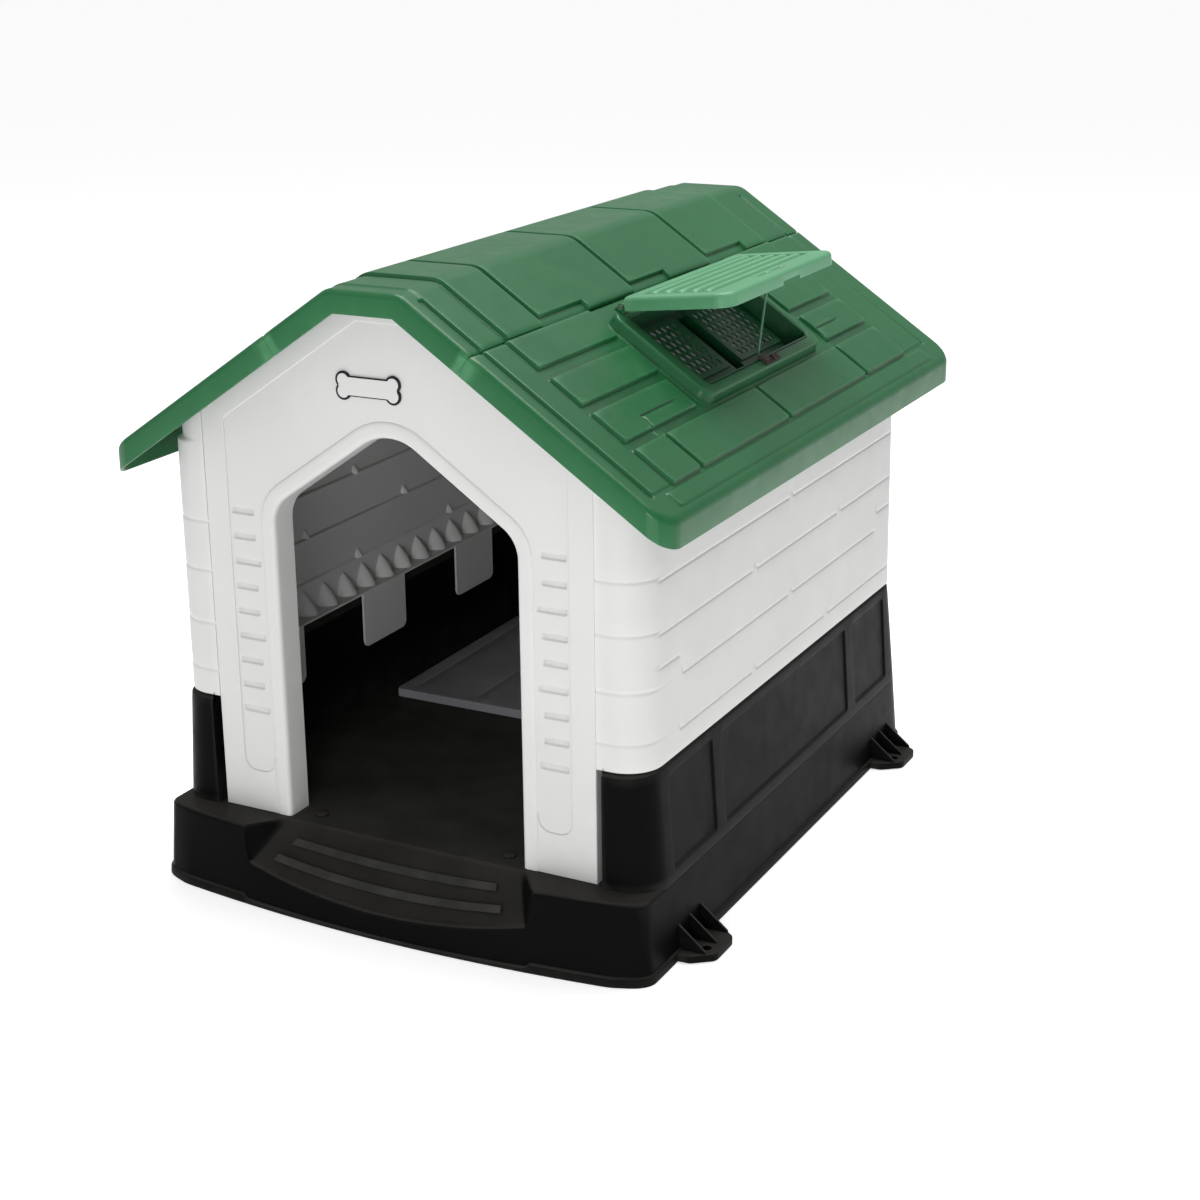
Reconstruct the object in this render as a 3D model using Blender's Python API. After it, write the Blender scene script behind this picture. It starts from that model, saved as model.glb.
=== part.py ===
"""Knock-down plastic dog house with a porch base, a three-piece roof and a hinged roof vent.

Metres, +Z up, the doorway faces -Y, x = 0 is the plane of symmetry and z = 0 is the ground.
"""

import math

import bmesh
import bpy
from mathutils import Vector

# House frame: y counts from the outer face of the front panel into the depth.
FRONT_Y = -0.3975
DEPTH = 0.794

# Base
BASE_HALF = 0.3330
BASE_TAPER = 0.0165
BASE_FLANGE = 0.003
PORCH_FRONT = -0.064
PORCH_SAG = 0.020
PORCH_TAPER = 0.0085
FLOOR_Z = 0.098
LEDGE_Z = 0.236
TONGUE_Z = 0.252
TONGUE_INSET = 0.010
CORNER_R = 0.045
POST_FRONT = -0.005
POST_INNER_X = 0.2645
BASE_INNER_X = 0.290
SKIN = 0.0045
RAMP_TOP_Y = -0.003
RAMP_DEEP = 0.058
RAMP_HALF = 0.163
RAMP_FLARE = 0.032
RAMP_LOW_Z = 0.026
RAMP_DISH = 0.026

# Doorway and end panels
PANEL_HALF = 0.2555
PANEL_DEEP = 0.038
PANEL_SKIN = 0.005
DOOR_HALF = 0.1605
DOOR_SHOULDER_Z = 0.470
TRIM = 0.020
FIELD_HALF = 0.2245
FIELD_LOW_Z = 0.150
FIELD_DEEP = 0.002
SLOT_PITCH = 0.0309
SLOT_COUNT = 9

# Side walls
WALL_HALF = 0.3165
WALL_SKIN = 0.004
WALL_END_X = 0.2558
WALL_LOW_Z = 0.2385
BAND_Z = 0.556
LEDGE_HIGH_Z = 0.2560

# Roof: s runs down a slope from the edge of the flat ridge, n stands off the slope.
ROOF_ANGLE = math.radians(34.03)
RIDGE_X = 0.0465
RIDGE_Z = 0.7566
ROOF_FRONT = -0.0406
ROOF_BACK = 0.8620
ROOF_SKIN = 0.005
ROOF_LIP = 0.027
CAP_END = 0.1035
SLOPE_START = 0.1039
EAVE_S = 0.3820
EAVE_R = 0.032
LIP_WALL = 0.004
BRICK_H = 0.005

# Roof vent on the right slope
VENT_S = (0.139, 0.265)
VENT_Y = (0.254, 0.558)
RIM_H = 0.014
TRAY_FLOOR = -0.0133
LID_OPEN = math.radians(40.2)
HINGE_S = 0.128
HINGE_N = 0.019
LID_Y = (0.244, 0.566)
LID_BACK = 0.0058
LID_REACH = 0.142
LID_TOP = 0.013
LID_LIP = -0.004
STAY_Y = 0.406
STAY_U = 0.118
STAY_W = 0.003
STAY_FOOT_S = 0.2590
STAY_FOOT_N = 0.0130
STAY_R = 0.0018

COS_A = math.cos(ROOF_ANGLE)
SIN_A = math.sin(ROOF_ANGLE)


# ---------------------------------------------------------------- frames

def house(x, y, z):
    return Vector((x, FRONT_Y + y, z))


def on_slope(side, y, s, n):
    x = RIDGE_X + s * COS_A + n * SIN_A
    return Vector((side * x, FRONT_Y + y, RIDGE_Z - s * SIN_A + n * COS_A))


def on_lid(y, u, w):
    s = HINGE_S + u * math.cos(LID_OPEN) - w * math.sin(LID_OPEN)
    n = HINGE_N + u * math.sin(LID_OPEN) + w * math.cos(LID_OPEN)
    return on_slope(1, y, s, n)


def roof_z(x, n):
    """Height of the offset roof plane over a point x off the middle."""
    flat = RIDGE_Z + n
    slope = RIDGE_Z + n / COS_A - (abs(x) - RIDGE_X) * math.tan(ROOF_ANGLE)
    return min(flat, slope)


# ---------------------------------------------------------------- mesh tools

def new_object(name, points, faces):
    mesh = bpy.data.meshes.new(name)
    mesh.from_pydata([tuple(p) for p in points], [], faces)
    work = bmesh.new()
    work.from_mesh(mesh)
    bmesh.ops.recalc_face_normals(work, faces=work.faces)
    work.to_mesh(mesh)
    work.free()
    obj = bpy.data.objects.new(name, mesh)
    bpy.context.scene.collection.objects.link(obj)
    return obj


def loft(name, rings):
    """Closed body through rings of equal length, capped at both ends."""
    count = len(rings[0])
    points = [p for ring in rings for p in ring]
    faces = [list(range(count)), list(range(len(points) - count, len(points)))]
    for level in range(len(rings) - 1):
        low = level * count
        for i in range(count):
            j = (i + 1) % count
            faces.append([low + i, low + j, low + count + j, low + count + i])
    return new_object(name, points, faces)


def front_prism(name, outline, y0, y1):
    """Outline in (x, z), extruded through the depth."""
    return loft(name, [[house(x, y, z) for x, z in outline] for y in (y0, y1)])


def plan_prism(name, outline, z0, z1):
    return loft(name, [[house(x, y, z) for x, y in outline] for z in (z0, z1)])


def slope_prism(name, side, outline, n0, n1, shrink=0.0):
    """Outline in (y, s) on a roof slope; shrink draws the upper end in towards its middle."""
    my = sum(p[0] for p in outline) / len(outline)
    ms = sum(p[1] for p in outline) / len(outline)
    upper = []
    for y, s in outline:
        dy = shrink if y < my else -shrink
        ds = shrink if s < ms else -shrink
        upper.append(on_slope(side, y + dy, s + ds, n1))
    return loft(name, [[on_slope(side, y, s, n0) for y, s in outline], upper])


def slope_box(name, side, y, s, n, shrink=0.0):
    outline = [(y[0], s[0]), (y[1], s[0]), (y[1], s[1]), (y[0], s[1])]
    return slope_prism(name, side, outline, n[0], n[1], shrink)


def lid_prism(name, outline, w0, w1):
    return loft(name, [[on_lid(y, u, w) for y, u in outline] for w in (w0, w1)])


def lid_box(name, y, u, w):
    outline = [(y[0], u[0]), (y[1], u[0]), (y[1], u[1]), (y[0], u[1])]
    return lid_prism(name, outline, w[0], w[1])


def box(name, x, y, z):
    return plan_prism(name, [(x[0], y[0]), (x[1], y[0]), (x[1], y[1]), (x[0], y[1])], z[0], z[1])


def cylinder(name, start, end, radius, sides=16):
    axis = (end - start).normalized()
    side = axis.orthogonal().normalized()
    other = axis.cross(side)
    rings = []
    for centre in (start, end):
        ring = []
        for i in range(sides):
            turn = 2 * math.pi * i / sides
            ring.append(centre + radius * (math.cos(turn) * side + math.sin(turn) * other))
        rings.append(ring)
    return loft(name, rings)


def combine(body, others, operation):
    """Applies an exact Boolean with each of the others and removes them."""
    for other in others:
        change = body.modifiers.new(operation.title(), "BOOLEAN")
        change.operation = operation
        change.solver = "EXACT"
        change.object = other
        bpy.context.view_layer.update()
        graph = bpy.context.evaluated_depsgraph_get()
        mesh = bpy.data.meshes.new_from_object(body.evaluated_get(graph))
        body.modifiers.clear()
        body.data = mesh
        bpy.data.objects.remove(other)
    return body


def cut(body, *others):
    return combine(body, others, "DIFFERENCE")


def fuse(body, *others):
    return combine(body, others, "UNION")


def rounded(corners, radii, steps=5):
    """Closed outline with each corner rounded by an arc."""
    outline = []
    count = len(corners)
    for i, (corner, radius) in enumerate(zip(corners, radii)):
        here = Vector(corner)
        if radius <= 0:
            outline.append(tuple(here))
            continue
        back = (Vector(corners[i - 1]) - here).normalized()
        ahead = (Vector(corners[(i + 1) % count]) - here).normalized()
        half = back.angle(ahead) / 2
        reach = radius / math.tan(half)
        centre = here + (back + ahead).normalized() * (radius / math.sin(half))
        first = here + back * reach - centre
        last = here + ahead * reach - centre
        sweep = first.angle_signed(last)
        for k in range(steps + 1):
            turn = -sweep * k / steps
            arm = Vector((
                first.x * math.cos(turn) - first.y * math.sin(turn),
                first.x * math.sin(turn) + first.y * math.cos(turn),
            ))
            outline.append(tuple(centre + arm))
    return outline


def paint(obj, name, colour, roughness, metallic=0.0):
    material = bpy.data.materials.get(name) or bpy.data.materials.new(name)
    material.use_nodes = True
    shader = material.node_tree.nodes["Principled BSDF"]
    shader.inputs["Base Color"].default_value = (*colour, 1.0)
    shader.inputs["Roughness"].default_value = roughness
    shader.inputs["Metallic"].default_value = metallic
    obj.data.materials.clear()
    obj.data.materials.append(material)
    return obj


def green(obj):
    return paint(obj, "roof_green_" + obj.name, (0.050, 0.210, 0.095), 0.45)


def white(obj):
    return paint(obj, "wall_white_" + obj.name, (0.760, 0.760, 0.745), 0.50)


def black(obj):
    return paint(obj, "base_black_" + obj.name, (0.012, 0.012, 0.011), 0.50)


def steel(obj):
    return paint(obj, "zinc_steel_" + obj.name, (0.560, 0.570, 0.580), 0.35, 1.0)


def move_origin(obj, centre):
    """Puts the object's origin on its turning axis without moving the body."""
    for vertex in obj.data.vertices:
        vertex.co -= centre
    obj.location = centre


# ---------------------------------------------------------------- base

def base_half(z):
    return BASE_HALF - BASE_TAPER * z / LEDGE_Z


def base_ring(z, inset, front):
    """Base outline at one height; front gives the y of its middle and how far it bows."""
    half = base_half(z) - inset
    back = DEPTH + half - base_half(LEDGE_Z)
    middle, bow = front
    middle += inset
    radius = CORNER_R
    ring = []
    run = half - radius
    for i in range(13):
        x = -run + 2 * run * i / 12
        ring.append((x, middle + bow * (x / run) ** 2))
    for i in range(1, 6):
        turn = math.radians(-90 + 18 * i)
        y = middle + bow + radius + radius * math.sin(turn)
        ring.append((run + radius * math.cos(turn), y))
    for side in (1, -1):
        for i in range(6):
            turn = math.radians(18 * i if side > 0 else 90 + 18 * i)
            y = back - radius + radius * math.sin(turn)
            ring.append((side * run + radius * math.cos(turn), y))
    for i in range(5):
        turn = math.radians(180 + 18 * i)
        y = middle + bow + radius + radius * math.sin(turn)
        ring.append((-run + radius * math.cos(turn), y))
    return [house(x, y, z) for x, y in ring]


def ramp_point(deep, across):
    """Point on the dished ramp; deep runs down from its top edge, across runs from -1 to 1."""
    run = min(1.0, deep / RAMP_DEEP)
    x = across * (RAMP_HALF + RAMP_FLARE * run)
    low = RAMP_LOW_Z + RAMP_DISH * across * across
    return house(x, RAMP_TOP_Y - deep, FLOOR_Z - 0.0003 - (FLOOR_Z - low) * run)


def ramp_cutter():
    """Dished step in front of the doorway, open upwards and forwards."""
    rows = []
    for deep in (0.0, 0.010, 0.020, 0.029, 0.038, 0.048, RAMP_DEEP, 0.085):
        rows.append([ramp_point(deep, -1 + i / 8) for i in range(17)])
    count = len(rows[0])
    points = [p for row in rows for p in row]
    lid = [Vector((p.x, p.y, 0.13)) for p in points]
    faces = []
    total = len(points)
    for k in range(len(rows) - 1):
        for i in range(count - 1):
            a = k * count + i
            faces.append([a, a + 1, a + count + 1, a + count])
            faces.append([total + a, total + a + count, total + a + count + 1, total + a + 1])
    edge = list(range(count))
    edge += [k * count + count - 1 for k in range(1, len(rows))]
    edge += [(len(rows) - 1) * count + i for i in range(count - 2, -1, -1)]
    edge += [k * count for k in range(len(rows) - 2, 0, -1)]
    for a, b in zip(edge, edge[1:] + edge[:1]):
        faces.append([a, b, total + b, total + a])
    return new_object("ramp", points + lid, faces)


def lug(side, y):
    """Ground anchor ear with three gussets and a peg hole."""
    sign = 1 if side > 0 else -1
    corners = [(0.327, y - 0.045), (0.350, y - 0.043), (0.3745, y - 0.024)]
    corners += [(0.3745, y + 0.024), (0.350, y + 0.043), (0.327, y + 0.045)]
    outline = rounded([(sign * cx, cy) for cx, cy in corners], [0, 0.012, 0.012, 0.012, 0.012, 0], 3)
    ear = plan_prism("ear", outline, 0.0004, 0.010)
    for dy in (-0.030, 0.0, 0.030):
        section = [(0.328, 0.006), (0.364, 0.006), (0.364, 0.0125), (0.328, 0.042)]
        rings = []
        for edge in (-0.0015, 0.0015):
            rings.append([house(sign * gx, y + dy + edge, gz) for gx, gz in section])
        fuse(ear, loft("gusset", rings))
    hole = cylinder("hole", house(sign * 0.358, y - 0.015, -0.02),
                    house(sign * 0.358, y - 0.015, 0.03), 0.0055, 12)
    return cut(ear, hole)


def make_base():
    skirt = (PORCH_FRONT, PORCH_SAG)
    porch = (PORCH_FRONT + PORCH_TAPER, PORCH_SAG)
    foot = (POST_FRONT - 0.007, 0.0)
    post = (POST_FRONT, 0.0)
    rings = [
        base_ring(0.0, -BASE_FLANGE, skirt),
        base_ring(0.0095, -BASE_FLANGE, skirt),
        base_ring(0.0115, 0.0, skirt),
        base_ring(FLOOR_Z - 0.006, 0.0, porch),
        base_ring(FLOOR_Z, 0.004, porch),
        base_ring(FLOOR_Z + 0.0005, 0.0, foot),
        base_ring(LEDGE_Z, 0.0, post),
        base_ring(LEDGE_Z, TONGUE_INSET, post),
        base_ring(TONGUE_Z, TONGUE_INSET, post),
    ]
    base = loft("base_tray", rings)

    end = DEPTH - 0.026
    gap = POST_INNER_X
    inner = BASE_INNER_X
    outline = [(-gap, -0.060), (gap, -0.060), (gap, 0.050), (inner, 0.050)]
    outline += [(inner, DEPTH - 0.050), (gap, DEPTH - 0.050), (gap, 0.90), (-gap, 0.90)]
    outline += [(-gap, DEPTH - 0.050), (-inner, DEPTH - 0.050), (-inner, 0.050), (-gap, 0.050)]
    cut(base, plan_prism("pocket", outline, FLOOR_Z - 0.0004, 0.40))
    cut(base, ramp_cutter())

    # Underside cells leave a ribbed shell.
    columns = [(-0.285, -0.1915), (-0.187, -0.0965), (-0.092, 0.092), (0.0965, 0.187), (0.1915, 0.285)]
    lows = [0.030 + 0.1475 * i for i in range(5)]
    for x0, x1 in columns:
        for y0 in lows:
            cut(base, box("cell", (x0, x1), (y0, y0 + 0.143), (-0.01, FLOOR_Z - SKIN)))
    for side in (1, -1):
        section = [(0.2945, -0.01), (0.3290, -0.01), (0.3125, 0.230), (0.2945, 0.230)]
        for y0, y1 in ((0.050, 0.276), (0.281, 0.513), (0.518, 0.744)):
            rings = [[house(side * x, y, z) for x, z in section] for y in (y0, y1)]
            cut(base, loft("wall_core", rings))
        x0, x1 = sorted((side * 0.200, side * 0.2645))
        cut(base, box("porch_cell", (x0, x1), (-0.035, 0.025), (-0.01, 0.0925)))
        for y, turn in ((0.0, 1), (DEPTH, -1)):
            outline = [(0.269, 0.0005), (0.284, 0.0005), (0.3045, 0.017), (0.3105, 0.036)]
            outline += [(0.3105, 0.0455), (0.269, 0.0455)]
            outline = [(side * cx, y + turn * cy) for cx, cy in outline]
            cut(base, plan_prism("post_cell", outline, -0.01, 0.230))
    cut(base, box("rear_cell", (-0.2645, 0.2645), (0.7675, 0.7990), (-0.01, FLOOR_Z - SKIN)))
    under = [(0.025, -0.01), (0.025, 0.0925), (0.001, 0.0925), (-0.047, 0.034), (-0.047, -0.01)]
    cut(base, loft("ramp_core", [[house(x, y, z) for y, z in under] for x in (-0.185, 0.185)]))

    # Side panels lie a little behind the corner posts.
    for side in (1, -1):
        for y0, y1 in ((0.052, 0.176), (0.196, DEPTH - 0.196), (DEPTH - 0.176, DEPTH - 0.052)):
            rings = []
            for z in (0.080, 0.224):
                out = base_half(z)
                ring = [(out - 0.0022, y0), (out + 0.02, y0), (out + 0.02, y1), (out - 0.0022, y1)]
                rings.append([house(side * x, y, z) for x, y in ring])
            cut(base, loft("panel", rings))

    # Tread ribs follow the dished ramp.
    for deep, reach in ((0.020, 0.80), (0.038, 0.84)):
        rings = []
        for i in range(17):
            across = (-1 + i / 8) * reach
            centre = ramp_point(deep, across)
            down = (ramp_point(deep + 0.002, across) - centre).normalized()
            out = Vector((0.0, down.z, -down.y))
            tall = 0.0035 if 0 < i < 16 else 0.0012
            ring = [(-0.005, -0.003), (-0.004, tall * 0.7), (-0.001, tall), (0.002, tall)]
            ring += [(0.0045, tall * 0.6), (0.005, -0.003)]
            rings.append([centre + down * a - out * b for a, b in ring])
        fuse(base, loft("tread", rings))

    for side in (1, -1):
        for y in (0.087, DEPTH - 0.087):
            fuse(base, lug(side, y))
    for x in (-0.1305, 0.1305):
        fuse(base, cylinder("boss", house(x, 0.022, FLOOR_Z - 0.003), house(x, 0.022, FLOOR_Z + 0.003),
                            0.008, 12))
    return black(base)


def make_floor_panel():
    low = FLOOR_Z + 0.0004
    top = low + 0.012
    plate = plan_prism("floor_panel", rounded(
        [(-0.262, 0.398), (0.262, 0.398), (0.262, 0.742), (-0.262, 0.742)], [0.004] * 4, 3), low, top)
    for x in (-0.130, 0.130):
        cut(plate, box("under", (x - 0.127, x + 0.127), (0.402, 0.738), (low - 0.01, top - 0.003)))
    for x in (-0.240, -0.144, -0.048, 0.048, 0.144, 0.240):
        cut(plate, box("groove", (x - 0.002, x + 0.002), (0.416, 0.722), (top - 0.0012, top + 0.01)))
    return paint(plate, "floor_grey", (0.045, 0.045, 0.050), 0.5)


# ---------------------------------------------------------------- end panels

def door_outline(grow, foot):
    """Doorway with sloping shoulders and a rounded peak, grown outwards by a margin."""
    half = DOOR_HALF + grow
    slope = math.radians(34.5)
    shoulder = DOOR_SHOULDER_Z + 0.0175 + grow * math.tan((math.pi / 2 - slope) / 2)
    peak = shoulder + half * math.tan(slope)
    corners = [(-half, foot), (half, foot), (half, shoulder), (0.0, peak), (-half, shoulder)]
    return rounded(corners, [0, 0, 0.040 + grow, 0.060 + grow, 0.040 + grow], 7)


def panel_outline(inset, foot):
    half = PANEL_HALF - inset
    drop = -(ROOF_SKIN + 0.0006) - inset
    flat = RIDGE_X + drop * math.tan(ROOF_ANGLE / 2)
    top = RIDGE_Z + drop
    low = roof_z(half, drop)
    return [(-half, foot), (half, foot), (half, low), (flat, top), (-flat, top), (-half, low)]


def field_outline():
    corners = [(-FIELD_HALF, FIELD_LOW_Z), (FIELD_HALF, FIELD_LOW_Z), (FIELD_HALF, 0.587)]
    corners += [(0.036, 0.7145), (-0.036, 0.7145), (-FIELD_HALF, 0.587)]
    return rounded(corners, [0.012, 0.012, 0.008, 0.006, 0.006, 0.008], 3)


def screw_holes(front):
    y = 0.021 if front else DEPTH - 0.021
    holes = []
    for side in (1, -1):
        for z in SCREW_HEIGHTS:
            holes.append(cylinder("hole", house(side * 0.2450, y, z), house(side * 0.2680, y, z),
                                  0.0019, 10))
    return holes


SCREW_HEIGHTS = (0.300, 0.520)


def make_front_panel():
    foot = FLOOR_Z + 0.0003
    panel = front_prism("front_panel", panel_outline(0.0, foot), 0.0, PANEL_DEEP)
    hollow = front_prism("hollow", panel_outline(0.0035, foot + 0.0035), PANEL_SKIN, 0.08)
    cut(hollow, front_prism("jamb", door_outline(0.0035, -0.1), -0.01, 0.09))
    cut(panel, hollow, front_prism("door", door_outline(0.0, -0.1), -0.05, 0.09))
    field = front_prism("field", field_outline(), -0.02, FIELD_DEEP)
    cut(field, front_prism("trim", door_outline(TRIM, -0.1), -0.03, 0.01))
    cut(panel, field)
    for side in (1, -1):
        for i in range(SLOT_COUNT):
            z = 0.2295 + SLOT_PITCH * i
            inner = 0.190 if i % 3 else 0.184
            x = (inner, 0.2215) if side > 0 else (-0.2215, -inner)
            cut(panel, box("slot", x, (-0.01, FIELD_DEEP + 0.0013), (z - 0.003, z + 0.003)))
    cut(panel, *screw_holes(True))
    return white(panel)


def make_back_panel():
    foot = FLOOR_Z + 0.0003
    far = DEPTH
    panel = front_prism("back_panel", panel_outline(0.0, foot), far - PANEL_DEEP, far)
    hollow = front_prism("hollow", panel_outline(0.0035, foot + 0.0035), far - 0.08, far - PANEL_SKIN)
    cut(panel, hollow)
    cut(panel, front_prism("field", field_outline(), far - FIELD_DEEP, far + 0.02))
    for i in range(7):
        z = 0.205 + 0.062 * i
        half = 0.2245 if i % 2 == 0 else 0.200
        cut(panel, box("groove", (-half, half), (far - FIELD_DEEP - 0.0013, far + 0.01),
                       (z - 0.002, z + 0.002)))
    cut(panel, *screw_holes(False))
    return white(panel)


def make_badge():
    """Plain bone-shaped plaque on the gable."""
    outline = []
    for cx, cz, begin in ((0.0100, 0.6345, -150), (0.0100, 0.6475, -40),
                          (-0.0550, 0.6475, 30), (-0.0550, 0.6345, 140)):
        for k in range(7):
            turn = math.radians(begin + 190 * k / 6)
            outline.append((cx + 0.0100 * math.cos(turn), cz + 0.0100 * math.sin(turn)))
    badge = front_prism("gable_badge", outline, -0.0006, FIELD_DEEP - 0.0003)
    return paint(badge, "badge", (0.02, 0.02, 0.02), 0.5)


# ---------------------------------------------------------------- side walls

def wall_ring(side, z, half, grow=0.0):
    """C-shaped section of a side wall with both end flanges."""
    radius = CORNER_R - 0.003
    front = 0.0005
    back = DEPTH - 0.0005
    end = WALL_END_X
    ring = [(end, 0.0365), (end, front)]
    inner = []
    for i in range(7):
        turn = math.radians(-90 + 15 * i)
        ring.append((half - radius + radius * math.cos(turn), front + radius + radius * math.sin(turn)))
        small = radius - WALL_SKIN
        inner.append((half - radius + small * math.cos(turn), front + radius + small * math.sin(turn)))
    for i in range(7):
        turn = math.radians(15 * i)
        ring.append((half - radius + radius * math.cos(turn), back - radius + radius * math.sin(turn)))
        small = radius - WALL_SKIN
        inner.append((half - radius + small * math.cos(turn), back - radius + small * math.sin(turn)))
    ring += [(end, back), (end, DEPTH - 0.0365), (end + 0.003, DEPTH - 0.0365)]
    ring.append((end + 0.003, back - WALL_SKIN))
    ring += inner[::-1]
    ring += [(end + 0.003, front + WALL_SKIN), (end + 0.003, 0.0365)]
    return [house(side * x, y, z) for x, y in ring]


def corner_groove(side, z, deep, high):
    """Groove cutter that wraps one front corner from the seam to the siding."""
    radius = CORNER_R - 0.003
    half = WALL_HALF - 0.0012
    rings = []
    for level in (z, z + high):
        outer = [(WALL_END_X - 0.01, -0.02)]
        inner = [(WALL_END_X - 0.01, 0.0005 + deep)]
        for i in range(7):
            turn = math.radians(-90 + 15 * i)
            small = radius - deep
            inner.append((half - radius + small * math.cos(turn), 0.0005 + radius + small * math.sin(turn)))
        outer += [(half + 0.02, -0.02), (half + 0.02, 0.0425)]
        rings.append([house(side * x, y, level) for x, y in inner + outer[::-1]])
    return loft("corner_groove", rings)


def make_side_wall(side):
    name = "side_wall_right" if side > 0 else "side_wall_left"
    rings = [
        wall_ring(side, WALL_LOW_Z, WALL_HALF),
        wall_ring(side, BAND_Z - 0.003, WALL_HALF - 0.0025),
        wall_ring(side, BAND_Z, WALL_HALF - 0.0105),
        wall_ring(side, 0.640, WALL_HALF - 0.0115),
    ]
    wall = loft(name, rings)

    # The top edge follows the underside of the roof.
    drop = -(ROOF_SKIN + 0.0008)
    section = [(0.230, roof_z(0.230, drop)), (0.345, roof_z(0.345, drop)), (0.345, 0.75), (0.230, 0.75)]
    cut(wall, loft("above", [[house(side * x, y, z) for x, z in section] for y in (-0.05, 0.85)]))

    # Ledge, gussets and locating tabs inside.
    x0, x1 = sorted((side * 0.2845, side * 0.3135))
    fuse(wall, box("ledge", (x0, x1), (0.045, DEPTH - 0.045), (LEDGE_HIGH_Z - 0.0025, LEDGE_HIGH_Z)))
    for i in range(15):
        y = 0.0715 + 0.0465 * i
        foot = [(0.3135, -0.0150), (0.2990, -0.0125), (0.2900, -0.0050)]
        foot += [(0.2900, 0.0050), (0.2990, 0.0125), (0.3135, 0.0150)]
        low = [house(side * x, y + dy, LEDGE_HIGH_Z - 0.001) for x, dy in foot]
        high = [house(side * (0.3128 - (0.3128 - x) * 0.06), y + dy * 0.15, 0.302) for x, dy in foot]
        fuse(wall, loft("gusset", [low, high]))
    for y0, y1 in ((0.115, 0.220), (0.360, 0.465), (0.603, 0.708)):
        x0, x1 = sorted((side * 0.2845, side * 0.2875))
        fuse(wall, box("tab", (x0, x1), (y0, y1), (0.178, LEDGE_HIGH_Z - 0.001)))

    # Siding grooves outside.
    lines = [(0.452, 0.036, 0.400), (0.452, 0.412, 0.758), (0.391, 0.036, 0.290), (0.391, 0.302, 0.560)]
    lines += [(0.391, 0.572, 0.758), (0.352, 0.036, 0.088), (0.3285, 0.096, 0.400)]
    lines += [(0.3285, 0.412, 0.700), (0.352, 0.708, 0.758), (0.264, 0.088, 0.290)]
    lines += [(0.264, 0.302, 0.520), (0.264, 0.532, 0.758), (0.513, 0.036, 0.520), (0.513, 0.532, 0.758)]
    for z, y0, y1 in lines:
        out = WALL_HALF - 0.0025 * (z - WALL_LOW_Z) / (BAND_Z - WALL_LOW_Z)
        x0, x1 = sorted((side * (out - 0.0013), side * (out + 0.02)))
        cut(wall, box("siding", (x0, x1), (y0, y1), (z - 0.002, z + 0.002)))
    for z in (0.271, 0.331, 0.397):
        cut(wall, corner_groove(side, z, 0.0010, 0.002))
    cut(wall, *screw_holes(True), *screw_holes(False))
    return white(wall)


# ---------------------------------------------------------------- roof

def roof_section(n, reach):
    """Cross-section line of the roof from left to right at one offset."""
    turn = RIDGE_X + n * math.tan(ROOF_ANGLE / 2)
    right = [(turn, RIDGE_Z + n)]
    end = on_slope(1, 0.0, reach, n)
    right.append((end.x, end.z))
    return [(-x, z) for x, z in right[::-1]] + right


def cap_prism(name, n_low, n_high, reach, y0, y1):
    outline = roof_section(n_high, reach) + roof_section(n_low, reach)[::-1]
    return front_prism(name, outline, y0, y1)


CAP_BLOCKS = ((0.0420, 0.1215), (0.1285, 0.3475), (0.3545, 0.5655), (0.5725, 0.7415))
RIDGE_SCREW_Y = (0.150, 0.650)
RIDGE_SCREW_S = 0.0945


def make_ridge_cap():
    cap = cap_prism("roof_ridge_cap", -ROOF_LIP, 0.0, CAP_END, ROOF_FRONT, ROOF_BACK)
    cut(cap, cap_prism("hollow", -0.06, -ROOF_SKIN, CAP_END + 0.03,
                       ROOF_FRONT + LIP_WALL, ROOF_BACK - LIP_WALL))
    for y0, y1 in CAP_BLOCKS:
        fuse(cap, cap_prism("block", -0.001, BRICK_H, 0.0985, y0, y1))
    for y0 in (-0.0205, 0.8180):
        for side in (1, -1):
            cut(cap, slope_box("groove", side, (y0, y0 + 0.008), (0.0155, 0.13), (-0.0025, 0.03)))
    for side in (1, -1):
        for y in RIDGE_SCREW_Y:
            cut(cap, cylinder("hole", on_slope(side, y, RIDGE_SCREW_S, -0.009),
                              on_slope(side, y, RIDGE_SCREW_S, -0.0012), 0.0018, 10))
    return green(cap)


ROWS = ((0.1060, 0.1525), (0.1690, 0.2150), (0.2280, 0.2765), (0.2885, 0.3445))


def slope_outline(edge):
    """Slope outline in (y, s), drawn in from the outer edges by a margin."""
    y0 = ROOF_FRONT + edge
    y1 = ROOF_BACK - edge
    start = SLOPE_START if edge == 0 else SLOPE_START - 0.02
    corners = [(y0, start), (y1, start), (y1, EAVE_S - edge), (y0, EAVE_S - edge)]
    radius = EAVE_R - edge
    return rounded(corners, [0, 0, radius, radius], 6)


def bricks(side):
    """Brick faces (y0, y1, s0, s1) of one slope."""
    found = []
    for row, (s0, s1) in enumerate(ROWS):
        if side > 0 and row < 3:
            found.append((0.034, 0.222 if row < 2 else 0.214, s0, s1))
            found.append((0.603 if row < 2 else 0.611, 0.7465, s0, s1))
        elif row == 3:
            found += [(0.034, 0.104, s0, s1), (0.111, 0.352, s0, s1)]
            found += [(0.359, 0.604, s0, s1), (0.611, 0.7465, s0, s1)]
        elif row == 1:
            found += [(0.034, 0.148, s0, s1), (0.155, 0.388, s0, s1)]
            found += [(0.395, 0.628, s0, s1), (0.635, 0.7465, s0, s1)]
        else:
            found += [(0.034, 0.222, s0, s1), (0.229, 0.404, s0, s1)]
            found += [(0.411, 0.596, s0, s1), (0.603, 0.7465, s0, s1)]
    return found


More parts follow.
